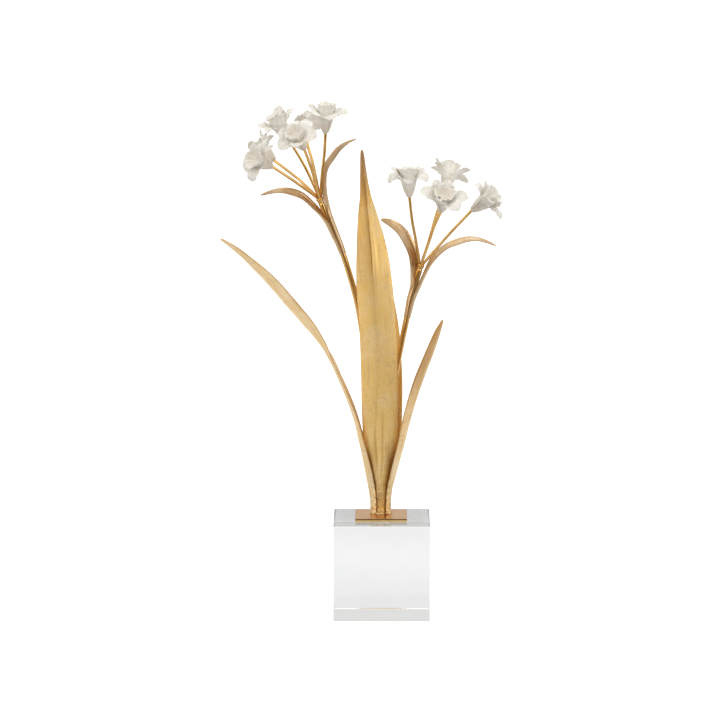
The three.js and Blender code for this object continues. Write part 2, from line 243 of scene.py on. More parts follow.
@dataclass
class Skin:
    """Loops of points in rows, wrapped across and drawn to a point at both ends.

    rings holds rows of loops in millimetres, grain the distances across and along the piece that
    its patterns follow, and tone from 0 to 1 how much darker or warmer its finish is painted:
    mostly painted shade in folds, creases, gaps and hollows, and an even darker colour on the
    solder.
    """

    rings: Array
    grain: Array
    tone: Array

    @classmethod
    def of_one_tone(cls, rings: Array, tone: float = 0.0) -> "Skin":
        """A skin whose grain is its own X and Y, and whose tone is the same all over."""
        return cls(rings, rings[..., :2].copy(), np.full(rings.shape[:2], tone))

    def placed(self, origin: Array, axes: Array) -> "Skin":
        """The same skin, measured from an origin along three axes, the rows of a 3 x 3 array."""
        return replace(self, rings=origin + self.rings @ axes)

    def points(self) -> Array:
        """Every ring point, then the two poles, which are the middles of the end loops."""
        poles = self.rings[[0, -1]].mean(axis=1)
        return np.vstack([self.rings.reshape(-1, 3), poles])

    def spread(self, values: Array) -> Array:
        """Values of the rings' points in the order of points(), with end loops' means at poles."""
        poles = values[[0, -1]].mean(axis=1)
        return np.concatenate([values.reshape(-1, *values.shape[2:]), poles])

    def faces(self) -> tuple[Array, Array]:
        """The quads between loops and the triangles at the poles, turned to face outwards.

        The volume under all the triangles is a sum of triple products; where it comes out negative,
        every face is turned round.

        Returns:
            The quads and the triangles, each a row of point numbers.
        """
        rows, columns = self.rings.shape[:2]
        here = np.arange(columns)
        ahead = (here + 1) % columns
        row = np.arange(rows - 1)[:, None] * columns
        above = row + columns
        quads = np.stack([row + here, row + ahead, above + ahead, above + here], -1).reshape(-1, 4)
        last = (rows - 1) * columns
        foot = np.stack([np.full(columns, rows * columns), ahead, here], -1)
        tip = np.stack([np.full(columns, rows * columns + 1), last + here, last + ahead], -1)
        fans = np.concatenate([foot, tip])
        triangles = np.concatenate([quads[:, :3], quads[:, [0, 2, 3]], fans])
        a, b, c = np.moveaxis(self.points()[triangles], 1, 0)
        if np.einsum("ij,ij->i", a, np.cross(b, c)).sum() < 0:
            quads, fans = quads[:, ::-1], fans[:, ::-1]
        return quads, fans


def build(
    name: str,
    skins: Sequence[Skin],
    look: Material,
    slot: Slot,
    stands_for: Sequence[str],
    crease: float | None = None,
) -> bpy.types.Object:
    """Puts skins into one mesh object, in metres, and lets it stand for CAD nodes.

    Args:
        name: The piece's name.
        skins: Its closed skins.
        look: Its finish.
        slot: The record's slot that the finish belongs to; not used.
        stands_for: The CAD nodes that it replaces.
        crease: The angle in degrees past which an edge is sharp, or none for smooth all over.

    Returns:
        The finished object.
    """
    points, quads, fans, grain, tone, start = [], [], [], [], [], 0
    for skin in skins:
        own_quads, own_fans = skin.faces()
        points.append(skin.points() * MM)
        quads.append(own_quads + start)
        fans.append(own_fans + start)
        grain.append(skin.spread(skin.grain))
        tone.append(skin.spread(skin.tone))
        start += len(points[-1])
    mesh = bpy.data.meshes.new(name)
    faces = np.concatenate(quads).tolist() + np.concatenate(fans).tolist()
    mesh.from_pydata(np.concatenate(points).tolist(), [], faces)
    corners = np.zeros(len(mesh.loops), np.int32)
    mesh.loops.foreach_get("vertex_index", corners)
    uv = mesh.uv_layers.new(name=GRAIN_MAP)
    uv.uv.foreach_set("vector", np.concatenate(grain)[corners].astype(np.float32).ravel())
    # The tone is painted shade for the finishes to darken by, and on the solder an even darker
    # colour.
    shade_tone_layer = mesh.attributes.new(SHADE_TONE, "FLOAT", "POINT")
    shade_tone_layer.data.foreach_set("value", np.clip(np.concatenate(tone), 0, 1).astype(np.float32))
    mesh.shade_smooth()
    if crease is not None:
        mesh.set_sharp_from_angle(angle=np.radians(crease))
    mesh.materials.append(look)
    mesh.update()
    piece = bpy.data.objects.new(name, mesh)
    bpy.context.scene.collection.objects.link(piece)
    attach(piece, ROOT)
    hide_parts(*stands_for)
    LOG.info("%s: %d points, for %s", name, len(mesh.vertices), ", ".join(stands_for))
    return piece


@dataclass
class Sheet:
    """A strip of sheet bent about its spine, with rounded edges.

    Each section is an arc of the given curl in degrees, so its edges stand behind its middle. turn
    swings the section round the spine, relief lifts both its faces, and where hinge is given the
    strip bends about that direction instead of lying square to the depth of the view. edge is the
    power that squares its edges off: the higher, the sharper.
    """

    spine: Spine
    half_width: Profile
    curl: Profile
    thickness: Profile
    turn: Profile = steady(0)
    hinge: Array | None = None
    relief: Callable[[Array, Array, Array], Array] | None = None
    tone: Callable[[Array, Array], Array] | None = None
    rows: int = 90
    columns: int = 21
    edge: float = 14.0

    def skin(self) -> Skin:
        """Works out the strip's loops.

        With a the angle across from the middle, R the half width over half the curl, and d half the
        thickness times sqrt(1 - |v| ** edge) on the outer face and minus that on the inner one, a
        point lies (R + d + relief) sin a across and (R + d + relief) cos a - R out. v runs from -1
        to 1 across, so the two faces meet in a round edge.

        Returns:
            The skin, whose grain is millimetres across and along the strip.
        """
        u = np.linspace(0, 1, self.rows)
        v = np.sin(np.linspace(-np.pi / 2, np.pi / 2, self.columns))
        centre, along = self.spine.at(u), self.spine.along(u)
        if self.hinge is None:
            level = level_across(along)
        else:
            level = unit(self.hinge - (along @ self.hinge)[:, None] * along)
        turn = np.radians(self.turn(u))[:, None]
        across = level * np.cos(turn) + np.cross(along, level) * np.sin(turn)
        out = np.cross(across, along)
        half = self.half_width(u)[:, None]
        bend = np.radians(self.curl(u))[:, None] / 2
        radius = half / bend
        lift = self.relief(u[:, None], v[None, :], half) if self.relief else 0.0
        thickness = self.thickness(u)[:, None]
        faces = []
        for side in (1, -1):
            depth = side * thickness / 2 * np.sqrt(1 - np.abs(v[None, :]) ** self.edge)
            reach = radius + depth + lift
            sideways, outwards = reach * np.sin(bend * v), reach * np.cos(bend * v) - radius
            faces.append(
                centre[:, None]
                + sideways[..., None] * across[:, None]
                + outwards[..., None] * out[:, None]
            )
        loop = np.concatenate([np.arange(self.columns), np.arange(self.columns - 2, 0, -1)])
        rings = np.concatenate([faces[0], faces[1][:, -2:0:-1]], axis=1)
        wide = np.broadcast_to(half * v[None, :], (self.rows, self.columns))[:, loop]
        long = np.broadcast_to(u[:, None] * self.spine.length, wide.shape)
        tone = self.tone(u[:, None], v[None, :]) if self.tone else np.zeros(1)
        tone = np.broadcast_to(tone, (self.rows, self.columns))[:, loop]
        return Skin(rings, np.stack([wide, long], -1), tone)


@dataclass
class Rod:
    """A round rod along a spine, ending in half a ball where it is domed.

    uneven is the share of its radius that its surface wanders by.
    """

    spine: Spine
    radius: Profile
    rows: int = 60
    sides: int = 24
    domed: bool = False
    uneven: float = 0.0
    seed: int = 0

    def skin(self) -> Skin:
        """Works out the rod's loops: circles square to the spine, each point moved out unevenly.

        Returns:
            The skin, its grain the millimetres round the rod from its front and along it.
        """
        u = np.linspace(0, 1, self.rows)
        centre, along, radius = self.spine.at(u), self.spine.along(u), self.radius(u)
        walked = u * self.spine.length
        if self.domed:
            rise = np.radians(np.array([20, 40, 60, 78]))
            end = radius[-1]
            centre = np.vstack([centre, centre[-1] + np.sin(rise)[:, None] * end * along[-1]])
            along = np.vstack([along, np.repeat(along[-1:], len(rise), axis=0)])
            radius = np.concatenate([radius, end * np.cos(rise)])
            walked = np.concatenate([walked, walked[-1] + end * rise])
        turn = circle(self.sides)
        level = level_across(along)
        front = np.cross(level, along)
        uneven = 1 + self.uneven * ripple(3 * np.sin(turn), walked[:, None], 9, self.seed)
        spread = radius[:, None] * uneven
        rings = (
            centre[:, None]
            + (spread * np.cos(turn))[..., None] * front[:, None]
            + (spread * np.sin(turn))[..., None] * level[:, None]
        )
        around = np.abs(turn) * radius[:, None]
        grain = np.stack([around, np.broadcast_to(walked[:, None], around.shape)], -1)
        return Skin(rings, grain, np.zeros(around.shape))


def turned(outline: Sequence[tuple[float, float]], sides: int) -> Skin:
    """A round shape about +Z, from an outline that begins and ends on the axis.

    Args:
        outline: Pairs of a radius and a height, from the foot's middle up the outside.
        sides: Points in each circle.

    Returns:
        The skin, with four loops to each step of a smooth curve through the outline, and for its
        grain the millimetres round and up it.
    """
    path = Spine([(max(radius, NEAR_AXIS), 0.0, height) for radius, height in outline])
    at = path.at(np.linspace(0, 1, 4 * (len(outline) - 1) + 1))
    turn = circle(sides)
    radius, height = at[:, :1], at[:, 2:]
    rings = np.stack([radius * np.cos(turn), radius * np.sin(turn), height + 0 * turn], -1)
    grain = np.stack([np.abs(turn) * radius, height + 0 * turn], -1)
    return Skin(rings, grain, np.zeros(grain.shape[:2]))


@dataclass
class Slab:
    """A square slab with rounded edges, standing on the middle of its underside."""

    side: float
    height: float
    rounding: float
    middle: Point
    arc: int = 6

    BESIDE = 0.15
    FLAT = 0.3

    def outline(self, inset: float) -> Array:
        """The slab's square outline with rounded corners: four quarter circles, each with a point a
        little before it and after it on the straight sides.

        Args:
            inset: How far in from the sides it is drawn, in millimetres.

        Returns:
            The outline's points, across and along the slab.
        """
        half = self.side / 2 - self.rounding
        spare = max(self.rounding - inset, NEAR_AXIS)
        reach = half if inset <= self.rounding else half - (inset - self.rounding)
        turn = np.radians(np.linspace(0, 90, self.arc + 1))
        corner = np.stack([reach + spare * np.cos(turn), reach + spare * np.sin(turn)], -1)
        before, after = corner[:1] - [0, self.BESIDE], corner[-1:] - [self.BESIDE, 0]
        quarter = np.vstack([before, corner, after])
        turns = [np.array([[c, s], [-s, c]]) for c, s in ((1, 0), (0, 1), (-1, 0), (0, -1))]
        return np.vstack([quarter @ way for way in turns])

    def skin(self) -> Skin:
        """Stacks the outlines: flat underneath, up the rounded lower edge, the sides, the upper
        edge and flat on top. A loop just inside each flat keeps its shading flat.

        Returns:
            The skin, its grain the millimetres across and along the slab.
        """
        turn = np.radians(np.linspace(0, 90, self.arc + 1))
        low = [(self.side * self.FLAT, 0.0), (self.rounding + self.BESIDE, 0.0)]
        rounded = zip(1 - np.sin(turn), 1 - np.cos(turn))
        low += [(self.rounding * inset, self.rounding * z) for inset, z in rounded]
        low += [(0.0, self.rounding + self.BESIDE)]
        high = [(inset, self.height - z) for inset, z in reversed(low)]
        loops = []
        for inset, z in low + high:
            outline = self.outline(inset)
            loops.append(np.column_stack([outline, np.full(len(outline), z)]))
        return Skin.of_one_tone(np.stack(loops) + np.array(self.middle))


# ---- finishes


class Nodes:
    """A node tree, with short ways to add to it."""

    def __init__(self, tree: bpy.types.NodeTree) -> None:
        """Keeps the tree that it adds to."""
        self.tree = tree

    def link(self, source: Socket | float | Colour, target: Socket) -> None:
        """Joins a socket to another, or sets the target to a plain value.

        Args:
            source: The socket to join, or the value.
            target: The input that it goes into.
        """
        if isinstance(source, Socket):
            self.tree.links.new(source, target)
        elif isinstance(source, tuple) and target.type == "RGBA":
            target.default_value = (*source, 1.0)
        else:
            target.default_value = source

    def node(self, kind: str, inputs: dict | None = None, **settings: object) -> bpy.types.Node:
        """Adds a node, sets its properties, and fills its inputs.

        Args:
            kind: The node's type.
            inputs: A socket or a value for each input, by its name or number.
            settings: The node's own properties.

        Returns:
            The new node.
        """
        node = self.tree.nodes.new(kind)
        for key, value in settings.items():
            setattr(node, key, value)
        for key, value in (inputs or {}).items():
            self.link(value, node.inputs[key])
        return node

    def span(self, value: Socket, low: float, high: float, to_low: float, to_high: float) -> Socket:
        """A value's stretch from low to high, mapped onto another and held at its ends."""
        inputs = {"Value": value, 1: low, 2: high, 3: to_low, 4: to_high}
        return self.node("ShaderNodeMapRange", inputs, interpolation_type="SMOOTHSTEP").outputs[0]

    def steps(self, value: Socket, stops: Stops) -> Socket:
        """A value carried along stops, in eased steps.

        Args:
            value: The value that is looked up.
            stops: Pairs of a value and what it becomes, from the lowest value to the highest.

        Returns:
            What it becomes.
        """
        low, high = stops[0][0], stops[-1][0]
        inputs = {"Value": value, 1: low, 2: high, 3: 0.0, 4: 1.0}
        share = self.node("ShaderNodeMapRange", inputs).outputs[0]
        ramp_node = self.node("ShaderNodeValToRGB", {"Fac": share})
        ramp_node.color_ramp.interpolation = "EASE"
        elements = ramp_node.color_ramp.elements
        while len(elements) < len(stops):
            elements.new(0.5)
        for element, (at, light) in zip(elements, stops):
            element.position = (at - low) / (high - low)
            element.color = (light, light, light, 1.0)
        return ramp_node.outputs[0]

    def sum(self, how: str, *numbers: Socket | float) -> Socket:
        """Arithmetic on two or three numbers, by the name of the operation."""
        return self.node("ShaderNodeMath", dict(enumerate(numbers)), operation=how).outputs[0]

    def times(self, a: Socket, b: Socket | float) -> Socket:
        """One number times another."""
        return self.sum("MULTIPLY", a, b)

    def blend(
        self, share: Socket | float, a: Socket | Colour, b: Socket | Colour, how: str = "MIX"
    ) -> Socket:
        """Colour a with a share of colour b blended in, by the name of the way."""
        inputs = {0: share, 6: a, 7: b}
        return self.node("ShaderNodeMix", inputs, data_type="RGBA", blend_type=how).outputs[2]

    def parts(self, kind: str) -> tuple[Socket, ...]:
        """The X, Y and Z of a texture coordinate, by its name."""
        place = self.node("ShaderNodeTexCoord").outputs[kind]
        return tuple(self.node("ShaderNodeSeparateXYZ", {0: place}).outputs)

    def for_camera(self, room: Socket, seen: Socket, output: Socket) -> None:
        """Sends a shader to the output for what the camera sees straight, and another for the rest.

        Args:
            room: The shader for every reflection, refraction and bounce.
            seen: The shader that the camera sees straight.
            output: The output's input.
        """
        path = self.node("ShaderNodeLightPath").outputs["Is Camera Ray"]
        pick = self.node("ShaderNodeMixShader", {0: path, 1: room, 2: seen})
        self.link(pick.outputs[0], output)


class Recipe(Nodes):
    """A material's node tree, with short ways to add what a finish needs."""

    def __init__(self, name: str) -> None:
        """Starts a material with its Principled shader.

        Args:
            name: The material's name.
        """
        self.material = bpy.data.materials.new(name)
        self.material.use_nodes = True
        super().__init__(self.material.node_tree)
        self.shader = self.tree.nodes["Principled BSDF"]

    def scaled(self, vector: Socket, scale: Point) -> Socket:
        """A vector times a scale each way."""
        return self.node("ShaderNodeMapping", {"Vector": vector, "Scale": scale}).outputs[0]

    def grain(self, across: float, along: float) -> Socket:
        """The piece's own map, in millimetres across and along, times a scale each way."""
        place = self.node("ShaderNodeUVMap", uv_map=GRAIN_MAP).outputs["UV"]
        return self.scaled(place, (across, along, 1.0))

    def place(self, scale: float) -> Socket:
        """The point on the piece in the shared frame.

        Args:
            scale: What its millimetres are multiplied by.

        Returns:
            The vector.
        """
        place = self.node("ShaderNodeTexCoord").outputs["Object"]
        size = scale / MM
        return self.scaled(place, (size, size, size))

    def noise(self, vector: Socket, detail: float = 3.0, rough: float = 0.55) -> Socket:
        """Cloudy noise from 0 to 1, at one lump to a unit of the vector."""
        settings = {"Vector": vector, "Scale": 1.0, "Detail": detail, "Roughness": rough}
        return self.node("ShaderNodeTexNoise", settings).outputs["Fac"]

    def cracks(self, vector: Socket, width: float) -> Socket:
        """Thin lines between the cells of a Voronoi pattern.

        Args:
            vector: Where the pattern is read, with about one cell to a unit.
            width: How far from a line the value has fallen away.

        Returns:
            1 on a line and 0 away from it.
        """
        inputs = {"Vector": vector, "Scale": 1.0}
        cells = self.node("ShaderNodeTexVoronoi", inputs, feature="DISTANCE_TO_EDGE")
        return self.span(cells.outputs["Distance"], 0.0, width, 1.0, 0.0)

    def tone(self) -> Socket:
        """The piece's painted darkening, from 0 to 1: mostly painted shade, and an even darker
        colour on the solder.
        """
        return self.node("ShaderNodeAttribute", attribute_name=SHADE_TONE).outputs["Fac"]

    def raise_by(self, height: Socket, millimetres: float, under: Socket | None = None) -> Socket:
        """A bump.

        Args:
            height: Its shape, from 0 to 1.
            millimetres: How high it is where the shape is 1.
            under: The bump that it lies on, where there is one.

        Returns:
            The bumped normal.
        """
        inputs = {"Height": height, "Strength": 1.0, "Distance": millimetres * MM}
        if under is not None:
            inputs["Normal"] = under
        return self.node("ShaderNodeBump", inputs).outputs[0]

    def finish(self, **inputs: Socket | float | Colour) -> Material:
        """Fills the shader's sockets.

        Args:
            inputs: A socket or a value for each, by its name with _ for a space.

        Returns:
            The finished material.
        """
        for key, value in inputs.items():
            self.link(value, self.shader.inputs[key.replace("_", " ")])
        return self.material


@dataclass(frozen=True)
class GoldLeaf:
    """Gold leaf laid on formed sheet: satin, with pits and hairline cracks.

    It is hammered at its foot, pitted above that and darkened towards its tip with painted shade.
    The three pairs are the heights in metres over which the hammering and the pits fade and the
    painted tip shade grows.
    """

    name: str
    body: Colour
    pale: Colour
    deep: Colour
    roughness: float
    tip_shade_colour: Colour = (0.46, 0.31, 0.19)
    hammered_to: tuple[float, float] = (0.088, 0.125)
    pitted_to: tuple[float, float] = (0.17, 0.26)
    tip_shade_heights: tuple[float, float] = (0.325, 0.368)

    def material(self) -> Material:
        """Mixes the three golds in clouds and streaks, darkens cracks and pits, multiplies in the
        painted shade of the tone attribute, paints shade towards the tips, and bumps the surface
        with brush lines, the leaf's crinkle and the hammering.

        Returns:
            The finished material.
        """
        mix = Recipe(self.name)
        clouds = mix.noise(mix.place(1 / 14), 4.0, 0.6)
        streaks = mix.noise(mix.grain(0.5, 0.03), 3.0, 0.5)
        colour = mix.blend(mix.span(clouds, 0.42, 0.68, 0.0, 0.7), self.body, self.pale)
        colour = mix.blend(mix.span(streaks, 0.50, 0.72, 0.0, 0.34), colour, self.deep)
        brushed = mix.noise(mix.grain(0.9, 0.012), 2.0, 0.5)
        colour = mix.blend(mix.span(brushed, 0.52, 0.72, 0.0, 0.6), colour, self.pale)
        height = mix.parts("Object")[2]
        specks = mix.noise(mix.place(1 / 1.3), 3.0, 0.65)
        pitted = mix.span(height, *self.pitted_to, 1.0, 0.25)
        pits = mix.times(mix.span(specks, 0.55, 0.68, 0.0, 1.0), pitted)
        colour = mix.blend(mix.times(pits, 0.55), colour, self.deep)
        where = mix.span(mix.noise(mix.place(1 / 11), 2.0), 0.52, 0.58, 0.0, 1.0)
        cracks = mix.times(mix.cracks(mix.grain(0.2, 0.34), 0.04), where)
        colour = mix.blend(mix.times(cracks, 0.55), colour, self.deep)
        # Painted shade from the tone attribute: creases, ribs, gaps between leaves, facets, rims
        # and tips; on the solder an even darker colour.
        colour = mix.blend(mix.tone(), colour, self.deep, "MULTIPLY")
        # Painted shade towards the tip, by height.
        colour = mix.blend(mix.span(height, *self.tip_shade_heights, 0.0, 0.6), colour, self.tip_shade_colour)
        low = mix.span(height, *self.hammered_to, 1.0, 0.0)
        blobs = mix.noise(mix.place(1 / 2.6), 4.0, 0.65)
        spots = mix.times(mix.span(blobs, 0.46, 0.62, 0.0, 0.6), low)
        colour = mix.blend(spots, colour, self.deep)
        rough = mix.span(streaks, 0.3, 0.7, self.roughness - 0.05, self.roughness + 0.06)
        rough = mix.sum("MULTIPLY_ADD", low, -0.22, rough)
        brush = mix.noise(mix.grain(2.2, 0.05), 3.0, 0.6)
        crinkle = mix.noise(mix.place(1 / 2.4), 5.0, 0.62)
        hollows = mix.times(mix.sum("MAXIMUM", cracks, pits), -1.0)
        normal = mix.raise_by(brush, 0.03)
        normal = mix.raise_by(crinkle, 0.11, normal)
        normal = mix.raise_by(mix.times(blobs, low), 1.3, normal)
        normal = mix.raise_by(hollows, 0.05, normal)
        return mix.finish(Base_Color=colour, Metallic=1.0, Roughness=rough, Normal=normal)


@dataclass(frozen=True)
class GiltRod:
    """Bright gilding on drawn rod, with drawing lines along it, darker gold in streaks and clouds,
    and painted shade from its tone attribute.
    """

    name: str
    body: Colour
    deep: Colour
    roughness: float

    def material(self) -> Material:
        """Streaks two golds along the rod, and bumps it with drawing lines and a slight unevenness.

        Returns:
            The finished material.
        """
        mix = Recipe(self.name)
        lines = mix.noise(mix.grain(1.2, 0.03), 3.0, 0.5)
        clouds = mix.noise(mix.place(1 / 12), 3.0)
        colour = mix.blend(mix.span(lines, 0.45, 0.72, 0.0, 0.6), self.body, self.deep)
        colour = mix.blend(mix.span(clouds, 0.5, 0.75, 0.0, 0.3), colour, self.deep)
        # Painted shade from the tone attribute.
        colour = mix.blend(mix.tone(), colour, self.deep, "MULTIPLY")
        rough = mix.span(clouds, 0.3, 0.7, self.roughness - 0.04, self.roughness + 0.08)
        normal = mix.raise_by(lines, 0.025)
        normal = mix.raise_by(mix.noise(mix.place(1 / 5), 3.0), 0.05, normal)
        return mix.finish(Base_Color=colour, Metallic=1.0, Roughness=rough, Normal=normal)


@dataclass(frozen=True)
class PolishedBrass:
    """Lacquered brass plate: polished, with fine straight lines from the wheel and faint clouding.

    Its cut edge carries a painted highlight, under a painted dark line. rim_top is the height in
    metres where the edge begins, bevel how fast it does, and line how far below it the painted dark
    line fades in.
    """

    name: str
    body: Colour
    deep: Colour
    glance: Colour = (0.86, 0.74, 0.64)
    # The painted highlight on the cut edge.
    rim: Colour = (1.0, 0.72, 0.28)
    # The painted dark line above the edge.
    shadow: Colour = (0.10, 0.05, 0.02)
    rim_top: float = 0.0786
    bevel: float = 0.0001
    line: tuple[float, float] = (0.0011, 0.0008)
    roughness: float = 0.24

    def material(self) -> Material:
        """Clouds two brasses, bumps the plate with lines along X, and paints a highlight on its cut
        edge under a painted dark line.

        Returns:
            The finished material.
        """
        mix = Recipe(self.name)
        clouds = mix.noise(mix.place(1 / 9), 4.0, 0.6)
        lines = mix.noise(mix.grain(0.05, 5.0), 3.0, 0.6)
        colour = mix.blend(mix.span(clouds, 0.35, 0.7, 0.0, 0.5), self.body, self.deep)
        rough = mix.span(lines, 0.3, 0.7, self.roughness - 0.05, self.roughness + 0.07)
        height = mix.parts("Object")[2]
        # Painted highlight on the cut edge, under a painted dark line.
        rim = mix.span(height, self.rim_top - self.bevel, self.rim_top, 1.0, 0.0)
        colour = mix.blend(rim, colour, self.rim)
        low, high = (self.rim_top - below for below in self.line)
        shade = mix.span(height, low, high, 0.0, 0.9)
        colour = mix.blend(mix.times(shade, rim), colour, self.shadow)
        rough = mix.sum("MULTIPLY_ADD", rim, 0.2, rough)
        normal = mix.raise_by(lines, 0.03)
        return mix.finish(
            Base_Color=colour, Metallic=1.0, Roughness=rough, Normal=normal,
            Specular_Tint=self.glance,
        )


@dataclass(frozen=True)
class ClearAcrylic:
    """Clear polished acrylic, with the faintest smudges and polishing waves."""

    name: str
    tint: Colour
    index: float = 1.49

    def material(self) -> Material:
        """Lets light through, bent by the acrylic's index, and clouds its polish very slightly.

        Returns:
            The finished material.
        """
        mix = Recipe(self.name)
        smudges = mix.noise(mix.place(1 / 18), 3.0)
        colour = mix.blend(mix.span(smudges, 0.3, 0.8, 0.0, 1.0), self.tint, WHITE)
        rough = mix.span(smudges, 0.45, 0.8, 0.0, 0.03)
        normal = mix.raise_by(smudges, 0.01)
        return mix.finish(
            Base_Color=colour, Roughness=rough, Normal=normal, IOR=self.index,
            Transmission_Weight=1.0,
        )


@dataclass(frozen=True)
class Bisque:
    """Unglazed fired porcelain: matt and chalky, veined along each petal, with painted warm shade
    in its depths.

    glow is the share of light that goes through it, its radius for red, green and blue, and how
    deep it goes in millimetres.
    """

    name: str
    white: Colour
    warm: Colour
    roughness: float = 0.62
    glow: float = 0.2
    glow_radius: Colour = (1.0, 0.8, 0.65)
    glow_depth: float = 1.6

    def material(self) -> Material:
        """Paints warm shade into the depths, tints the lower veins, and bumps the body with veins
        and a fired grain.

        Returns:
            The finished material.
        """
        mix = Recipe(self.name)
        veins = mix.noise(mix.grain(1.5, 0.09), 3.0, 0.6)
        grain = mix.noise(mix.place(1 / 0.45), 3.0, 0.6)
        clouds = mix.noise(mix.place(1 / 6), 3.0)
        colour = mix.blend(mix.span(clouds, 0.4, 0.7, 0.0, 0.25), self.white, self.warm)
        colour = mix.blend(mix.span(veins, 0.52, 0.7, 0.0, 0.25), colour, self.warm)
        # Painted warm shade from the tone attribute: low in the funnel, at the petals' knees and
        # inside the corona.
        colour = mix.blend(mix.tone(), colour, self.warm)
        rough = mix.span(grain, 0.3, 0.7, self.roughness - 0.08, self.roughness + 0.1)
        normal = mix.raise_by(veins, 0.42)
        normal = mix.raise_by(grain, 0.04, normal)
        return mix.finish(
            Base_Color=colour, Roughness=rough, Normal=normal, Subsurface_Weight=self.glow,
            Subsurface_Radius=self.glow_radius, Subsurface_Scale=self.glow_depth * MM,
        )


GILT_LEAF = GoldLeaf(
    "gold leaf on sheet",
    body=(0.96, 0.68, 0.26), pale=(0.97, 0.75, 0.40), deep=(0.52, 0.38, 0.21), roughness=0.55,
)
GILT_SIDE = GoldLeaf(
    "pale gold leaf on sheet",
    body=(0.94, 0.70, 0.37), pale=(0.98, 0.82, 0.56), deep=(0.55, 0.36, 0.16), roughness=0.5,
)
GILT_SHEATH = GoldLeaf(
    "gold leaf on thin sheath",
    body=(0.70, 0.50, 0.28), pale=(0.84, 0.69, 0.50), deep=(0.36, 0.21, 0.09), roughness=0.34,
)
GILT_SOLDER = GoldLeaf(
    "gilt solder",
    body=(0.80, 0.57, 0.27), pale=(0.95, 0.78, 0.48), deep=(0.38, 0.23, 0.08), roughness=0.24,
)
GILT_ROD = GiltRod(
    "bright gilt on rod", body=(0.80, 0.515, 0.19), deep=(0.36, 0.18, 0.05), roughness=0.19
)
BRASS = PolishedBrass("polished brass", (0.74, 0.50, 0.31), (0.60, 0.39, 0.24))
ACRYLIC = ClearAcrylic("clear acrylic", (0.97, 0.975, 0.98))
PORCELAIN = Bisque("bisque porcelain", (0.865, 0.85, 0.80), (0.76, 0.67, 0.56))


# ---- the base


@dataclass
class ClearBlock:
    """The clear cube that everything stands on."""

    side: float = 76.2
    rounding: float = 0.8

    def make(self) -> None:
        """Builds and dresses the block."""
        skin = Slab(self.side, self.side, self.rounding, (0.0, 0.0, 0.0)).skin()
        build("clear_cube", [skin], ACRYLIC.material(), Slot.BLOCK, ["clear_block"])


@dataclass
class BrassPlate:
    """The small square plate glued on the block, and the solder that holds the stalk to it."""

    side: float = 41.0
    thickness: float = 2.4
    rounding: float = 0.3
    middle: Point = (-0.5, 2.0, 76.25)
    solder_rise: float = 1.6

    def solder(self) -> Skin:
        """The pool of solder under the stalk: an oval whose edge is pushed in and out by three sets
        of lobes, rising from a thin rim to lumps against the leaves.

        Returns:
            The skin, in its place on the plate.
        """
        turn = circle(96)
        out = np.array([0.05, 0.5, 0.9, 0.99, 1, 0.97, 0.92, 0.86, 0.78, 0.6, 0.3, 0.05])[:, None]
        rise = np.array([0, 0, 0, 0.03, 0.1, 0.24, 0.5, 0.85, 1, 1, 1, 1])[:, None]
        lobes = 1 + 0.045 * np.sin(3 * turn + 0.8) + 0.04 * np.sin(7 * turn)
        lobes += 0.03 * np.sin(13 * turn + 2)
        x = out * (ROD_SPACING / 2 * np.tanh(3 * np.cos(turn)) + 5.4 * lobes * np.cos(turn))
        y = out * 5.9 * lobes * np.sin(turn)
        lumps = 0.45 * ripple(x, y, 4.0, 3) * ramp(rise, 0.1, 0.8)
        z = np.clip(rise * self.solder_rise * (0.85 + lumps), 0.0, 1.9) + 0.02
        rings = np.stack([x, y, z], -1) + STALK_FOOT - [0, 0, STALK_FOOT[2] - PLATE_TOP]
        return Skin.of_one_tone(rings, 0.3)

    def beads(self) -> list[Skin]:
        """A few drops of solder at the foot of the stalk: flattened balls, each uneven in its own
        way.

        Returns:
            The skins, in their places on the plate.
        """
        places = [
            (-4.6, -5.4, 1.2), (-2.6, -5.9, 0.7), (1.8, -6.0, 0.7), (5.0, -5.2, 0.9),
            (6.9, -4.2, 0.7), (-7.9, -1.6, 0.8), (8.3, 0.4, 0.7), (-6.4, 4.4, 1.1),
            (1.4, 6.2, 1.1), (6.0, 4.8, 1.0),
        ]
        squash = np.array([1.3, 0.8, 0.8])
        skins = []
        lat = np.radians(np.linspace(-84, 84, 11))[:, None]
        turn = circle(20)
        for seed, (x, y, radius) in enumerate(places):
            spread = radius * (1 + 0.2 * ripple(3 * np.cos(turn), 5 * lat, 5, seed + 20))
            ball = [np.cos(lat) * np.cos(turn), np.cos(lat) * np.sin(turn), np.sin(lat) + 0 * turn]
            rings = squash * spread[..., None] * np.stack(ball, -1)
            rings = rings + STALK_FOOT + [x, y, PLATE_TOP - STALK_FOOT[2] + 0.8 * radius]
            skins.append(Skin.of_one_tone(rings))
        return skins

    def make(self) -> None:
        """Builds and dresses the plate and the solder."""
        skin = Slab(self.side, self.thickness, self.rounding, self.middle).skin()
        build("brass_foot_plate", [skin], BRASS.material(), Slot.PLATE, ["base_plate"])
        skins = [self.solder(), *self.beads()]
        build("solder_pad", skins, GILT_SOLDER.material(), Slot.GILT, ["foot_weld"])


# ---- leaves, scapes and bracts


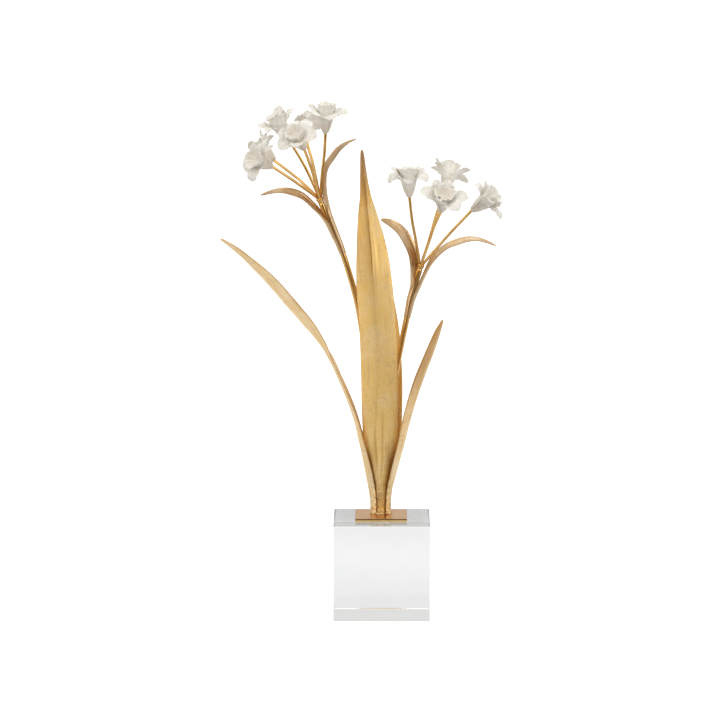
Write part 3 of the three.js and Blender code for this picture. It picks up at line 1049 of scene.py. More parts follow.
@dataclass
class Leaf:
    """One strap leaf of gilded sheet, with a keel, a fold beside it and grooves at its foot.

    fold is where the fold runs across the blade, from -1 to 1, and fold_depth and fold_width how
    deep and wide it is in millimetres. keel is how steeply the edges fall back from it. furrows are
    the grooves near the foot, each a place across, a start and an end along the blade, a depth and
    a width. shelter, facet_shade and tip_shade say how much painted shade darkens the gold in the
    gaps beside the other leaves at the foot, on the facet to the left of the fold, and from
    tip_start to the tip.
    """

    name: str
    spine: Sequence[Point]
    half_width: Stops
    turn: Stops
    curl: Stops
    fold: Stops = ((0, 0),)
    fold_depth: Stops = ((0, 0.3),)
    fold_width: Stops = ((0, 1.2),)
    keel: Stops = ((0, 0.06),)
    furrows: Sequence[tuple[float, float, float, float, float]] = ()
    hammer: float = 0.16
    tip_shade: float = 0.6
    tip_start: float = 0.8
    facet_shade: float = 0.0
    gap_shade: float = 0.0
    pale: bool = False
    thickness: float = 1.2
    seed: int = 1
    rows: int = 150

    def relief(self, u: Array, v: Array, half: Array) -> Array:
        """Minus the keel's fall, the fold's bell-shaped groove and the furrows, plus the lip beside
        the fold and ripples, all in millimetres.

        Args:
            u: Places along the blade.
            v: Places across it.
            half: Its half width at u.

        Returns:
            How far the blade stands out at each place.
        """
        fold, width = Profile(self.fold)(u), Profile(self.fold_width)(u)
        away = (v - fold) * half
        depth = Profile(self.fold_depth)(u) * ramp(half, 0.6, 4.0)
        lift = -Profile(self.keel)(u) * np.sqrt(away**2 + 1.5) - depth * bump(away, 0, width)
        lift += 0.7 * depth * bump(away, 2.1 * width, 1.3 * width)
        for across, start, end, deep, wide in self.furrows:
            lift -= deep * stretch(u, start, end) * bump(v * half, across * half, wide)
        length = Spine(self.spine).length
        dents = ripple(v * half, u * length * 0.45, 15, self.seed)
        return lift + self.hammer * dents * ramp(half, 1.0, 6.0)

    def tone(self, u: Array, v: Array) -> Array:
        """How much the gold is darkened: painted shade in the fold and the furrows, on the facet
        left of the fold, in the gaps beside the other leaves and towards the tip, and darker along
        the rims.

        Args:
            u: Places along the blade.
            v: Places across it.

        Returns:
            The tone at each place.
        """
        fold = Profile(self.fold)(u)
        # Painted shade in the fold's crease.
        groove = 0.95 * Profile(self.fold_depth)(u) * bump(v, fold, 0.045)
        # Painted shade on the facet left of the fold.
        facet = self.facet_shade * (1 - ramp(v, fold - 0.05, fold + 0.05)) * ramp(u, 0.5, 0.75)
        # Painted shade in the gaps beside the neighbouring leaves, low on the blade.
        aside = np.where(v > 0, ramp(v, 0.1, 0.62), ramp(-v, 0.3, 0.75))
        painted_gap_shade = self.gap_shade * aside * ramp(u, 0.04, 0.08) * (1 - ramp(u, 0.13, 0.21))
        painted_gap_shade = painted_gap_shade + 0.5 * self.gap_shade * (1 - ramp(u, 0.03, 0.1))
        # Darker along the rims.
        rim = 0.5 * ramp(np.abs(v), 0.95, 0.99)
        # Painted shade in the furrows.
        for across, start, end, deep, _ in self.furrows:
            groove = groove + 0.5 * deep * stretch(u, start, end) * bump(v, across, 0.06)
        # Painted shade grows towards the tip.
        return groove + facet + painted_gap_shade + rim + self.tip_shade * ramp(u, self.tip_start, 1.0)

    def skin(self) -> Skin:
        """The blade as a bent sheet with its relief, its foot let down to the plate in a slight
        flare.

        Returns:
            The skin, in its place on the plate.
        """
        blade = Sheet(
            spine=Spine(np.array(self.spine) + STALK_FOOT),
            half_width=Profile(self.half_width),
            curl=Profile(self.curl),
            thickness=steady(self.thickness),
            turn=Profile(self.turn),
            relief=self.relief,
            tone=self.tone,
            rows=self.rows,
            columns=41,
            edge=26,
        ).skin()
        foot = np.repeat(blade.rings[:1], 2, axis=0)
        middle = STALK_FOOT[:2]
        foot[..., :2] = middle + (foot[..., :2] - middle) * np.array([1.06, 1.01])[:, None, None]
        foot[..., 2] = np.array([PLATE_TOP + 0.05, PLATE_TOP + 0.9])[:, None]
        below = [0, 0, *range(len(blade.rings))]
        return Skin(np.concatenate([foot, blade.rings]), blade.grain[below], blade.tone[below])

    def make(self, gilt: Material) -> None:
        """Builds and dresses the leaf."""
        build(f"gilt_{self.name}", [self.skin()], gilt, Slot.GILT, [self.name])


def leaves() -> list[Leaf]:
    """The leaves' sizes.

    Returns:
        The tall leaf in front, the two that lean out, and the one behind.
    """
    return [
        Leaf(
            "leaf_center",
            spine=[
                (0, -4.3, 0.3), (0, -4.3, 8), (0, -6.2, 34), (0, -9.2, 67), (-0.6, -11.2, 95),
                (-1.4, -12.8, 127), (-2.7, -13.5, 155), (-4.6, -13.5, 179), (-6.9, -12, 210.5),
                (-10.8, -9.5, 242), (-13.3, -7, 265.5), (-15, -4.5, 289),
            ],
            half_width=(
                (0, 4.8), (0.065, 5.5), (0.12, 10.5), (0.17, 13.6), (0.21, 14.6), (0.3, 14.8),
                (0.6, 14.8), (0.67, 14), (0.72, 12.6), (0.775, 10.4), (0.83, 7.4), (0.88, 4.4),
                (0.935, 2.8), (0.985, 1.7), (1, 0.9),
            ),
            turn=((0, 0), (1, 6)),
            curl=((0, 80), (0.12, 64), (0.2, 36), (0.3, 16), (0.85, 16), (1, 40)),
            fold=((0, -0.2), (0.2, -0.3), (0.43, -0.09), (0.72, -0.07), (0.88, 0.05), (1, 0.1)),
            fold_depth=(
                (0, 0.2), (0.2, 0.4), (0.4, 0.12), (0.62, 0.2), (0.72, 1.0), (0.85, 1.1), (1, 0.3),
            ),
            fold_width=((0, 1.6), (0.5, 1.8), (0.7, 1.1), (1, 0.8)),
            keel=((0, 0.05), (0.3, 0.1), (0.6, 0.16), (1, 0.3)),
            furrows=(
                (0.1, 0.08, 0.3, 1.0, 0.9), (-0.25, 0.1, 0.22, 0.9, 0.8),
                (0.45, 0.12, 0.26, 0.4, 1.4),
            ),
            facet_shade=0.4,
            tip_shade=0.95,
            gap_shade=0.95,
            seed=4,
        ),
        Leaf(
            "leaf_left",
            spine=[
                (-8.1, 0, 0.3), (-8.1, 0, 8), (-9.2, 0, 17), (-10.9, -0.4, 25), (-14, -1.4, 41.5),
                (-17.2, -3, 57.5), (-20.8, -5, 73.5), (-25.4, -7.5, 88), (-32.6, -11, 106.5),
                (-39.7, -14, 123), (-49.5, -17.5, 139.5), (-60.8, -21, 155.5), (-74.2, -25, 172),
                (-87.5, -28, 188), (-103.6, -31, 204.5), (-112.8, -32.5, 213), (-124.8, -34, 222),
            ],
            half_width=(
                (0, 7.6), (0.06, 8.3), (0.12, 9.2), (0.3, 9.7), (0.45, 10.4), (0.6, 11),
                (0.73, 11), (0.81, 10), (0.9, 6.6), (0.95, 4.4), (1, 1.4),
            ),
            turn=((0, -90), (0.49, -90), (0.56, -73), (0.64, -63), (1, -60)),
            curl=(
                (0, 156), (0.1, 160), (0.16, 128), (0.23, 90), (0.35, 56), (0.5, 34), (0.8, 24),
                (1, 20),
            ),
            fold=((0, 0.1), (1, 0.0)),
            fold_depth=((0, 0.1), (0.4, 0.3), (0.8, 0.45), (1, 0.2)),
            keel=((0, 0.02), (0.5, 0.06), (1, 0.08)),
            seed=9,
            tip_shade=0.15,
            pale=True,
        ),
        Leaf(
            "leaf_right",
            spine=[
                (7.9, 0, 0.3), (7.9, 0, 8), (8.9, -0.2, 18), (11.2, -0.8, 27), (14.5, -2, 40.5),
                (16.8, -3, 49.5), (19.2, -4.2, 59.5), (22, -5.5, 72.5), (26.4, -8, 90),
                (31.8, -11, 107.5), (40.1, -15, 131), (45.7, -18, 148), (48.6, -19, 156),
            ],
            half_width=(
                (0, 6.8), (0.1, 7.2), (0.2, 7.8), (0.35, 8.6), (0.5, 9.4), (0.7, 9.6), (0.84, 7.6),
                (0.94, 4.4), (1, 0.8),
            ),
            turn=((0, 90), (0.08, 90), (0.18, 84), (0.36, 78), (0.55, 68), (0.8, 64), (1, 58)),
            curl=((0, 140), (0.12, 132), (0.24, 112), (0.38, 82), (0.55, 44), (1, 22)),
            fold_depth=((0, 0.1), (0.5, 0.35), (1, 0.2)),
            keel=((0, 0.02), (0.5, 0.06), (1, 0.08)),
            seed=14,
            facet_shade=0.3,
            tip_shade=0.5,
            tip_start=0.3,
            pale=True,
        ),
        Leaf(
            "leaf_rear",
            spine=[
                (0, 4.3, 0.3), (0, 4.3, 8), (0.4, 7, 32), (2.6, 10, 63.5), (3.2, 14, 95),
                (3.5, 18, 126.5), (4.1, 21.5, 158), (4.8, 23.5, 186),
            ],
            half_width=(
                (0, 4.8), (0.13, 5.1), (0.2, 7.4), (0.27, 11.4), (0.36, 14.2), (0.5, 14.4),
                (0.64, 13.4), (0.75, 11.6), (0.87, 7.4), (0.95, 3.8), (1, 1),
            ),
            turn=((0, 180),),
            curl=((0, 80), (0.15, 66), (0.3, 36), (0.45, 20), (1, 20)),
            fold=((0, 0.05), (1, -0.05)),
            fold_depth=((0, 0.2), (0.5, 0.5), (0.9, 0.7), (1, 0.2)),
            keel=((0, 0.03), (0.5, 0.1), (1, 0.2)),
            seed=21,
        ),
    ]


@dataclass
class Bract:
    """One papery spathe of thin gilded sheet, which clasps the scape and then arches away from it.

    hugs lists how far below the top of the scape it still follows it, wrap how far from the
    scape's middle it lies there, and tip the rest of its spine, measured from the top of the
    scape. side is -1 to the left and 1 to the right, breadth widens it past its foot, and lean
    is how many degrees it has turned at its tip.
    """

    name: str
    side: int
    breadth: float
    hugs: tuple[float, float, float]
    tip: Sequence[Point]
    seed: int
    lean: float = 118.0
    thickness: Stops = ((0, 0.22), (0.06, 0.34), (0.3, 0.6), (0.9, 0.6), (1, 0.4))
    wrap: tuple[float, float, float] = (ROD_RADIUS + 0.28, ROD_RADIUS + 0.5, ROD_RADIUS + 0.85)

    HALF_WIDTH = (
        (0, 3.9), (0.1, 4.1), (0.25, 4.5), (0.45, 5), (0.7, 4.8), (0.85, 3.4), (0.95, 1.8),
        (1, 0.6),
    )

    def skin(self, scape: Spine) -> Skin:
        """The bract as a bent sheet: its first points lie beside the scape, tight at its thin foot.

        Args:
            scape: The scape's spine.

        Returns:
            The skin, in its place on the head.
        """
        low = 1 - np.array(self.hugs) / scape.length
        level = level_across(scape.along(low))
        clasped = scape.at(low) + self.side * np.array(self.wrap)[:, None] * level
        free = np.array(self.tip, float) + scape.at(np.ones(1))
        bends = ((0, 90), (0.3, 90), (0.5, self.lean - 8), (1, self.lean))
        at, half = np.array(self.HALF_WIDTH).T
        half = half * (1 + (self.breadth - 1) * ramp(at, 0.25, 0.5))
        return Sheet(
            spine=Spine(np.vstack([clasped, free])),
            half_width=Profile(tuple(zip(at, half))),
            curl=Profile(((0, 168), (0.25, 160), (0.4, 110), (0.6, 84), (1, 40))),
            thickness=Profile(self.thickness),
            turn=Profile(tuple((at, self.side * turn) for at, turn in bends)),
            relief=self.relief,
            tone=self.tone,
            rows=100,
            columns=25,
            edge=16,
        ).skin()

    def relief(self, u: Array, v: Array, half: Array) -> Array:
        """Fine ribs along the sheath, and a wave of its edges that grows towards the tip.

        Args:
            u: Places along the bract.
            v: Places across it.
            half: Its half width at u.

        Returns:
            How far it stands out at each place, in millimetres.
        """
        ribs = 0.09 * np.cos(13 * v + 2 * np.sin(5 * u)) * ramp(u, 0.2, 0.4)
        wave = 0.35 * ramp(u, 0.35, 0.7) * v**2 * np.sin(17 * u + self.seed + 1.5 * v)
        return (ribs + wave) * ramp(half, 0.8, 3.0)

    def tone(self, u: Array, v: Array) -> Array:
        """Painted shade between the ribs, and darker at the tip and along the rims.

        Args:
            u: Places along the bract.
            v: Places across it.

        Returns:
            The tone at each place.
        """
        ribs = 0.15 * (0.5 - 0.5 * np.cos(13 * v + 2 * np.sin(5 * u)))
        rims = 0.5 * ramp(np.abs(v), 0.92, 0.98) * ramp(u, 0.25, 0.45)
        return ribs + 0.35 * ramp(u, 0.85, 1.0) + rims


# ---- the florets


@dataclass
class Petal:
    """One petal: where it leaves the rim, where its tip is, and how it is worked.

    azimuth is degrees round the floret from its uppermost side, reach the tip's distance from the
    axis, and rise how far the tip stands above the rim. arch is how far the petal bows up between
    them, cup how many degrees it curls across, and roll how many it is turned about its length,
    which brings its face round to the front. ruffle is the height of its edges' waves. The strip of
    an outer petal wraps the funnel from its foot; an inner one starts inside it.
    """

    azimuth: float
    reach: float
    rise: float
    half_width: float = 4.6
    arch: float = 1.8
    cup: float = 40.0
    roll: float = 14.0
    ruffle: float = 0.5
    outer: bool = True


@dataclass
class Corona:
    """The frilled cup in the middle of a floret: its height above the rim, the radius of its own
    rim, the number of its pleats, and the height of its frill."""

    height: float = 9.0
    rim: float = 7.0
    pleats: int = 9
    frill: float = 0.7


@dataclass
class Floret:
    """One fired floret: petal strips wrapped into a funnel, six petals and a frilled corona.

    foot is measured from the top of the scape, and facing is the way the mouth looks.
    """

    foot: Point
    facing: Point
    petals: Sequence[Petal]
    corona: Corona = field(default_factory=Corona)
    seed: int = 0

    RIM = 13.0
    THROAT = (6.2, 12.6)
    OUTER_LOW, INNER_LOW = (-1.0, 3.5, 8.0), (5.0, 8.0)
    OUTER_GAP, INNER_GAP = 0.35, -0.25
    OUTER_WRAP, INNER_WRAP = 62.0, 48.0
    FUNNEL = ((-2.3, 0.3), (-1.7, 1.55), (0, 2.3), (4, 3.7), (8, 4.9), (12, 6.1), (17, 6.4))

    def axes(self) -> Array:
        """The floret's own axes: uppermost, or away from the viewer where it looks almost straight
        up, then sideways and along its mouth.

        Returns:
            The axes, as the rows of a 3 x 3 array.
        """
        along = unit(np.array(self.facing, float))
        up = UPWARDS - along[2] * along
        if np.linalg.norm(up) < 0.2:
            up = AWAY - along[1] * along
        up = unit(up)
        return np.stack([up, np.cross(along, up), along])

    def wall(self, height: float) -> float:
        """The funnel's radius at a height above the foot's middle."""
        at, radius = np.array(self.FUNNEL).T
        return float(np.interp(height, at, radius))

    def petal_skin(self, petal: Petal, number: int) -> Skin:
        """A petal as a bent sheet: up the funnel's wall, over the rim and out to its tip.

        On the wall the arc across is as round as the funnel; past the rim, which the strip reaches
        at its knee, it opens out. Ribs follow the petal's length, a crease its middle, and ruffles
        grow along its edges.

        Args:
            petal: The petal.
            number: Its number on the floret, which chooses its ruffles.

        Returns:
            The skin, on the floret's own axes.
        """
        turn = np.radians(petal.azimuth)
        outwards = np.array([np.cos(turn), np.sin(turn), 0.0])
        sideways = np.array([-np.sin(turn), np.cos(turn), 0.0])
        gap = self.OUTER_GAP if petal.outer else self.INNER_GAP
        low = self.OUTER_LOW if petal.outer else self.INNER_LOW
        stations = [(self.wall(height) + gap, height) for height in low]
        stations.append((self.wall(11.6) + gap * 0.7, 11.8))
        start, tip = np.array(self.THROAT), np.array([petal.reach, self.RIM + petal.rise])
        for share, lift in ((0.3, 0.75), (0.65, 1.0)):
            stations.append(tuple(start + share * (tip - start) + [0.0, petal.arch * lift]))
        stations.append(tuple(tip))
        spine = Spine([tuple(outwards * reach + UPWARDS * height) for reach, height in stations])
        free_length = petal.reach + abs(petal.rise) * 0.5 - 4.5
        knee = float(np.clip(1 - free_length / spine.length, 0.2, 0.75))
        past = 1 - knee
        wrap = self.OUTER_WRAP if petal.outer else self.INNER_WRAP
        foot = np.radians(wrap) * (self.wall(low[0]) + 0.3)
        belly = np.radians(wrap) * (self.wall(9) + 0.3)
        broad = 1.2 * petal.half_width
        widths = (
            (0, foot), (knee * 0.75, belly), (knee + 0.1, broad * 0.98),
            (knee + 0.55 * past, broad), (knee + 0.8 * past, broad * 0.76),
            (knee + 0.93 * past, broad * 0.42), (1, 0.3),
        )
        curls = (
            (0, 2 * wrap), (knee * 0.8, 2 * wrap), (knee + 0.15, petal.cup), (1, petal.cup * 0.6),
        )
        front = self.axes() @ np.array([0.0, -1.0, 0.15])
        roll = -petal.roll * np.sign(front[2] * (front @ sideways))
        draw = np.random.default_rng(self.seed * 10 + number)
        phase, beat = draw.uniform(0, WHOLE_TURN), draw.uniform(2.2, 3.4)

        def relief(u: Array, v: Array, half: Array) -> Array:
            """Overlap on the wall, and ribs, crease and ruffles on the free part, in millimetres.

            Args:
                u: Places along the petal.
                v: Places across it.
                half: Its half width at u.

            Returns:
                How far it stands out at each place.
            """
            free = ramp(u, knee, knee + 0.2)
            overlap = 0.28 * v * (1 - free) * (1 if petal.outer else 0)
            ribs = 0.24 * np.cos(15 * v) - 0.6 * bump(v, 0, 0.12)
            wave = np.sin(WHOLE_TURN * beat * (u - knee) / past + phase + 1.2 * v)
            ruffle = petal.ruffle * np.abs(v) ** 1.6 * wave
            return (overlap + free * (ribs + ruffle)) * ramp(half, 0.2, 2.2)

        def tone(u: Array, v: Array) -> Array:
            """Painted warm shade low on the wall and at the knee, the same right across."""
            return 0.7 * (1 - ramp(u, 0.2, 0.9 * knee + 0.05)) + 0.25 * bump(u, knee, 0.08) + 0 * v

        return Sheet(
            spine=spine,
            half_width=Profile(widths),
            curl=Profile(curls),
            thickness=Profile(((0, 0.5), (0.3, 0.75), (0.8, 0.65), (1, 0.45))),
            turn=Profile(((0, 0), (knee, 0), (knee + 0.35 * past, roll), (1, 1.2 * roll))),
            hinge=sideways,
            relief=relief,
            tone=tone,
            rows=46,
            columns=17,
            edge=7,
        ).skin()

    def funnel(self) -> Skin:
        """The core that the petal strips are wrapped on, closed over inside its mouth.

        Returns:
            The skin, on the floret's own axes.
        """
        outside = [(radius, height) for height, radius in self.FUNNEL[1:-1]]
        inside = [(5.2, 12.6), (3.4, 10.5), (NEAR_AXIS, 9.6)]
        skin = turned([(NEAR_AXIS, -2.4), *outside, *inside], 40)
        # Painted warm shade, heaviest at the funnel's foot.
        return replace(skin, tone=0.8 - 0.3 * ramp(skin.rings[..., 2], 0, 12))

    def cup(self) -> Skin:
        """The corona: a round cup whose radius swells with its pleats and whose rim is frilled.

        Its radius is that of the outline plus the frill, a sum of sines round the cup that grows
        towards the rim, plus fine pleats. Its height has the frill's waves too, three points of the
        loop out of step.

        Returns:
            The skin, on the floret's own axes.
        """
        top, rim = self.RIM + self.corona.height, self.corona.rim
        outline = [
            (NEAR_AXIS, 9.4), (3.0, 9.8), (4.9, 12.0), (5.3, 15.0), (rim * 0.82, top - 3.0),
            (rim * 0.95, top - 1.0), (rim + 0.5, top), (rim + 0.1, top + 0.15),
            (rim * 0.88, top - 1.2), (rim * 0.72, top - 3.4), (4.4, top - 4.8), (3.2, top - 5.8),
            (1.4, top - 6.2), (NEAR_AXIS, top - 6.3),
        ]
        base, turn = turned(outline, 96), circle(96)
        height = base.rings[:, :1, 2]
        grown = ramp(height, 13.0, top)
        draw = np.random.default_rng(self.seed * 10 + 7)
        pleats = self.corona.pleats
        waves = np.zeros_like(turn)
        for beat, weight in ((pleats, 1.0), (4, 0.8), (pleats + 5, 0.45), (2, 0.6)):
            waves = waves + weight * np.sin(beat * turn + draw.uniform(0, WHOLE_TURN))
        pleat = 0.2 * np.cos(2 * pleats * turn + 0.5) * ramp(height, 11, 14)
        radius = np.hypot(base.rings[..., 0], base.rings[..., 1])
        frill = self.corona.frill * grown / 1.6
        swelled = radius + (frill * waves + pleat) * ramp(radius, 1, 4)
        lifted = base.rings[..., 2] + 0.8 * frill * np.roll(waves, 3, axis=1)
        rings = np.stack([swelled * np.cos(turn), swelled * np.sin(turn), lifted], -1)
        inside = np.linspace(0, 1, len(rings))[:, None] > 0.55
        # Painted shade on the cup's inside, low down.
        tone = 0.35 * inside * (1 - ramp(height, 15, 20)) + 0 * turn
        grain = np.stack([np.abs(turn) * 6 + 0 * height, height + 0 * turn], -1)
        return Skin(rings, grain, tone)

    def skins(self, top: Array) -> list[Skin]:
        """All the floret's skins, in their place on the head.

        Args:
            top: The top of the scape.

        Returns:
            The funnel, the corona and the petals.
        """
        own = [self.funnel(), self.cup()]
        own += [self.petal_skin(petal, number) for number, petal in enumerate(self.petals)]
        return [skin.placed(top + np.array(self.foot), self.axes()) for skin in own]


@dataclass
class FlowerHead:
    """One scape with its two bracts, its knuckle, and a pedicel to each floret.

    stalks lists the two middle points of each pedicel, from its floret's end inwards, measured from
    the top of the scape as the florets' feet are. central is the number of the pedicel that springs
    from the middle of the knuckle, where there is one.
    """

    name: str
    scape: Sequence[Point]
    bracts: Sequence[Bract]
    florets: Sequence[Floret]
    stalks: Sequence[tuple[Point, Point]]
    central: int | None = None

    def knuckle(self, top: Array, along: Array) -> Skin:
        """The knob that the pedicels spring from: a bead over a narrow neck, lobed a little.

        Args:
            top: The top of the scape.
            along: The scape's direction there.

        Returns:
            The skin, in its place on the scape.
        """
        outline = [
            (NEAR_AXIS, 0.2), (2.3, 0.3), (2.55, 0.7), (2.4, 1.1), (2.8, 1.7), (3.05, 2.4),
            (2.95, 3.1), (2.3, 3.5), (NEAR_AXIS, 3.7),
        ]
        skin = turned(outline, 32)
        turn = np.arctan2(skin.rings[..., 1], skin.rings[..., 0])
        swell = 1 + 0.035 * np.sin(5 * turn) * ramp(skin.rings[..., 2], 1.0, 2.2)
        rings = skin.rings * np.stack([swell, swell, np.ones_like(swell)], -1)
        level = level_across(along)
        axes = np.stack([level, np.cross(along, level), along])
        return replace(skin, rings=rings).placed(top, axes)

    def pedicel(self, number: int, top: Array, along: Array) -> Skin:
        """A pedicel: straight up out of the knuckle, through its middle points, and into the foot
        of its floret, where it swells a little.

        Args:
            number: The floret's number on the head.
            top: The top of the scape.
            along: The scape's direction there.

        Returns:
            The skin, in its place on the head.
        """
        floret = self.florets[number]
        foot = np.array(floret.foot, float)
        level = unit(foot - (foot @ along) * along)
        start = along * 3.4 + level * (0.0 if number == self.central else 1.85)
        outer, inner = (np.array(point, float) for point in self.stalks[number])
        into = foot - unit(np.array(floret.facing, float)) * 1.6
        path = Spine(top + np.stack([start, start + along, inner, outer, into]))
        swell = Profile(((0, 0.95), (0.12, 1.2), (0.9, 1.2), (1, 1.3)))
        return Rod(path, swell, rows=50, sides=20, domed=True, uneven=0.01, seed=number + 3).skin()

    def make(self, sheath: Material, gilt: Material, fired: Material) -> None:
        """Builds and dresses the whole head.

        Args:
            sheath: The bracts' finish.
            gilt: The finish of the scape, the knuckle and the pedicels.
            fired: The florets' finish.
        """
        scape = Spine(np.array(self.scape) + STALK_FOOT)
        top, along = scape.at(np.ones(1))[0], scape.along(np.ones(1))[0]
        seed = len(self.florets)
        rod = Rod(scape, steady(ROD_RADIUS), rows=120, sides=32, uneven=0.012, seed=seed).skin()
        build(f"gilt_scape_{self.name}", [rod], gilt, Slot.GILT, [f"scape_{self.name}"])
        for bract in self.bracts:
            node = f"bract_{self.name}_{bract.name}"
            build(f"gilt_{node}", [bract.skin(scape)], sheath, Slot.GILT, [node])
        knuckle = self.knuckle(top, along)
        build(f"gilt_knuckle_{self.name}", [knuckle], gilt, Slot.GILT, [f"ferrule_{self.name}"])
        for number, floret in enumerate(self.florets):
            tail = f"{self.name}_{number + 1}"
            stalk = self.pedicel(number, top, along)
            build(f"gilt_pedicel_{tail}", [stalk], gilt, Slot.GILT, [f"pedicel_{tail}"])
            skins = floret.skins(top)
            build(f"fired_floret_{tail}", skins, fired, Slot.PORCELAIN, [f"floret_{tail}"])


def left_head() -> FlowerHead:
    """The sizes of the taller head.

    Returns:
        The head, with six florets.
    """
    florets = [
        Floret((-39.1, -16, 30.7), (-0.68, -0.62, 0.39), petals=[
            Petal(180, 17.5, 0, 4.4), Petal(128, 15, 2, 4.4, outer=False), Petal(78, 14, 2, 3.8),
            Petal(40, 12.5, 2, 2.2, outer=False), Petal(-4, 18.5, -0.5, 1.6, ruffle=0.2),
            Petal(-34, 17, -1.5, 1.8, ruffle=0.2, outer=False),
        ], corona=Corona(8, 8.6, 8, 1.1), seed=1),
        Floret((-38.2, 18, 32), (-0.7, 0.45, 0.55), seed=2, petals=[
            Petal(0, 13, 9.5, 1.5, ruffle=0.2, outer=False), Petal(14, 13.5, 4.5, 1.6, ruffle=0.2),
            Petal(38, 15, 1, 2.4, outer=False), Petal(-80, 14, 6, 3.4),
            Petal(-140, 15, 2, outer=False), Petal(130, 15, 3),
        ], corona=Corona(5.5, 6.0, 8, 0.7)),
        Floret((-26.3, 2, 50.5), (-0.5, -0.15, 0.85), seed=3, petals=[
            Petal(163, 15.5, 7, 3.8, outer=False), Petal(-148, 15, 2, 4.4),
            Petal(45, 12, 11, 4.2, outer=False), Petal(12, 18.5, 3, 2.8), Petal(100, 15, 2, 4.2),
            Petal(-85, 13, 9, 4.4, outer=False),
        ]),
        Floret((-13.3, -28, 46.4), (-0.35, -0.62, 0.7), seed=4, petals=[
            Petal(96, 15, 5, 5.0, outer=False), Petal(-18, 17.5, -1, 4.6, outer=False),
            Petal(-85, 17, 0, 4.8), Petal(140, 17, 0, 5.2), Petal(-155, 14, 3, 4.8, outer=False),
            Petal(30, 15, 3, 4.8),
        ], corona=Corona(7.5, 7.4, 9, 0.8)),
        Floret((-11.5, 19, 47.2), (0.12, 0.6, 0.79), seed=5, petals=[
            Petal(145, 12, 8, 4.6), Petal(-103, 12, 10, 4.4, outer=False), Petal(-34, 15, -1, 4.6),
            Petal(95, 14, 3, outer=False), Petal(40, 14, 2), Petal(180, 12, 9, 4.4, outer=False),
        ]),
        Floret((3.6, -2, 56.3), (0.03, -0.1, 0.99), seed=6, petals=[
            Petal(104, 15, 8.5, 2.8, roll=28, outer=False), Petal(140, 15.5, 2.5, 5.4, roll=20),
            Petal(-160, 14, -1, 5.0, outer=False), Petal(-78, 17.5, 1.5, 3.4, roll=32),
            Petal(-30, 13, 6, 3.4, outer=False), Petal(30, 13, 4),
        ]),
    ]
    bracts = [
        Bract("left", -1, 1.1, (44, 36, 28), [
            (3.2, 0, -16.6), (-1.6, -1, -9.6), (-8.6, -2, -1.8), (-15.8, -3.8, 4.8),
            (-24, -5.8, 8.2), (-32, -8, 9.6), (-39.8, -10, 8.8), (-47.1, -12, 7.1),
        ], seed=1),
        Bract("right", 1, 1.1, (44, 36, 28), [
            (9.2, 1, -11.7), (6.6, 1.6, -3), (4.4, 2.4, 7), (3.6, 3.4, 17.4), (5.1, 4.5, 27.2),
            (9.7, 5.4, 34.8), (14.2, 6.5, 41), (20.8, 7.5, 46.1), (27.6, 8.4, 49.2),
        ], seed=2),
    ]
    return FlowerHead(
        "left",
        scape=[
            (-2.5, 0, 0.3), (-2.5, 0, 8), (-3.2, -0.2, 33), (-6.3, -0.8, 73.5),
            (-10.3, -1.4, 105.5), (-14.8, -2, 145.5), (-19.1, -2.4, 169.5), (-28.2, -3, 201.5),
            (-34.1, -3.3, 217.5), (-40, -3.7, 230), (-47, -4, 247.2),
        ],
        bracts=bracts,
        florets=florets,
        stalks=[
            ((-26.5, -9, 21.7), (-17.2, -4, 14.6)), ((-26.9, 11, 24.1), (-16.6, 5, 16.7)),
            ((-16.5, 1.5, 34.9), (-9.8, 1, 22.3)), ((-9.1, -20, 34.2), (-6.1, -11, 23.7)),
            ((-6.9, 13, 30.4), (-4.5, 8, 19.9)), ((2.6, -1.5, 38.4), (0.8, -1, 22.6)),
        ],
        central=2,
    )


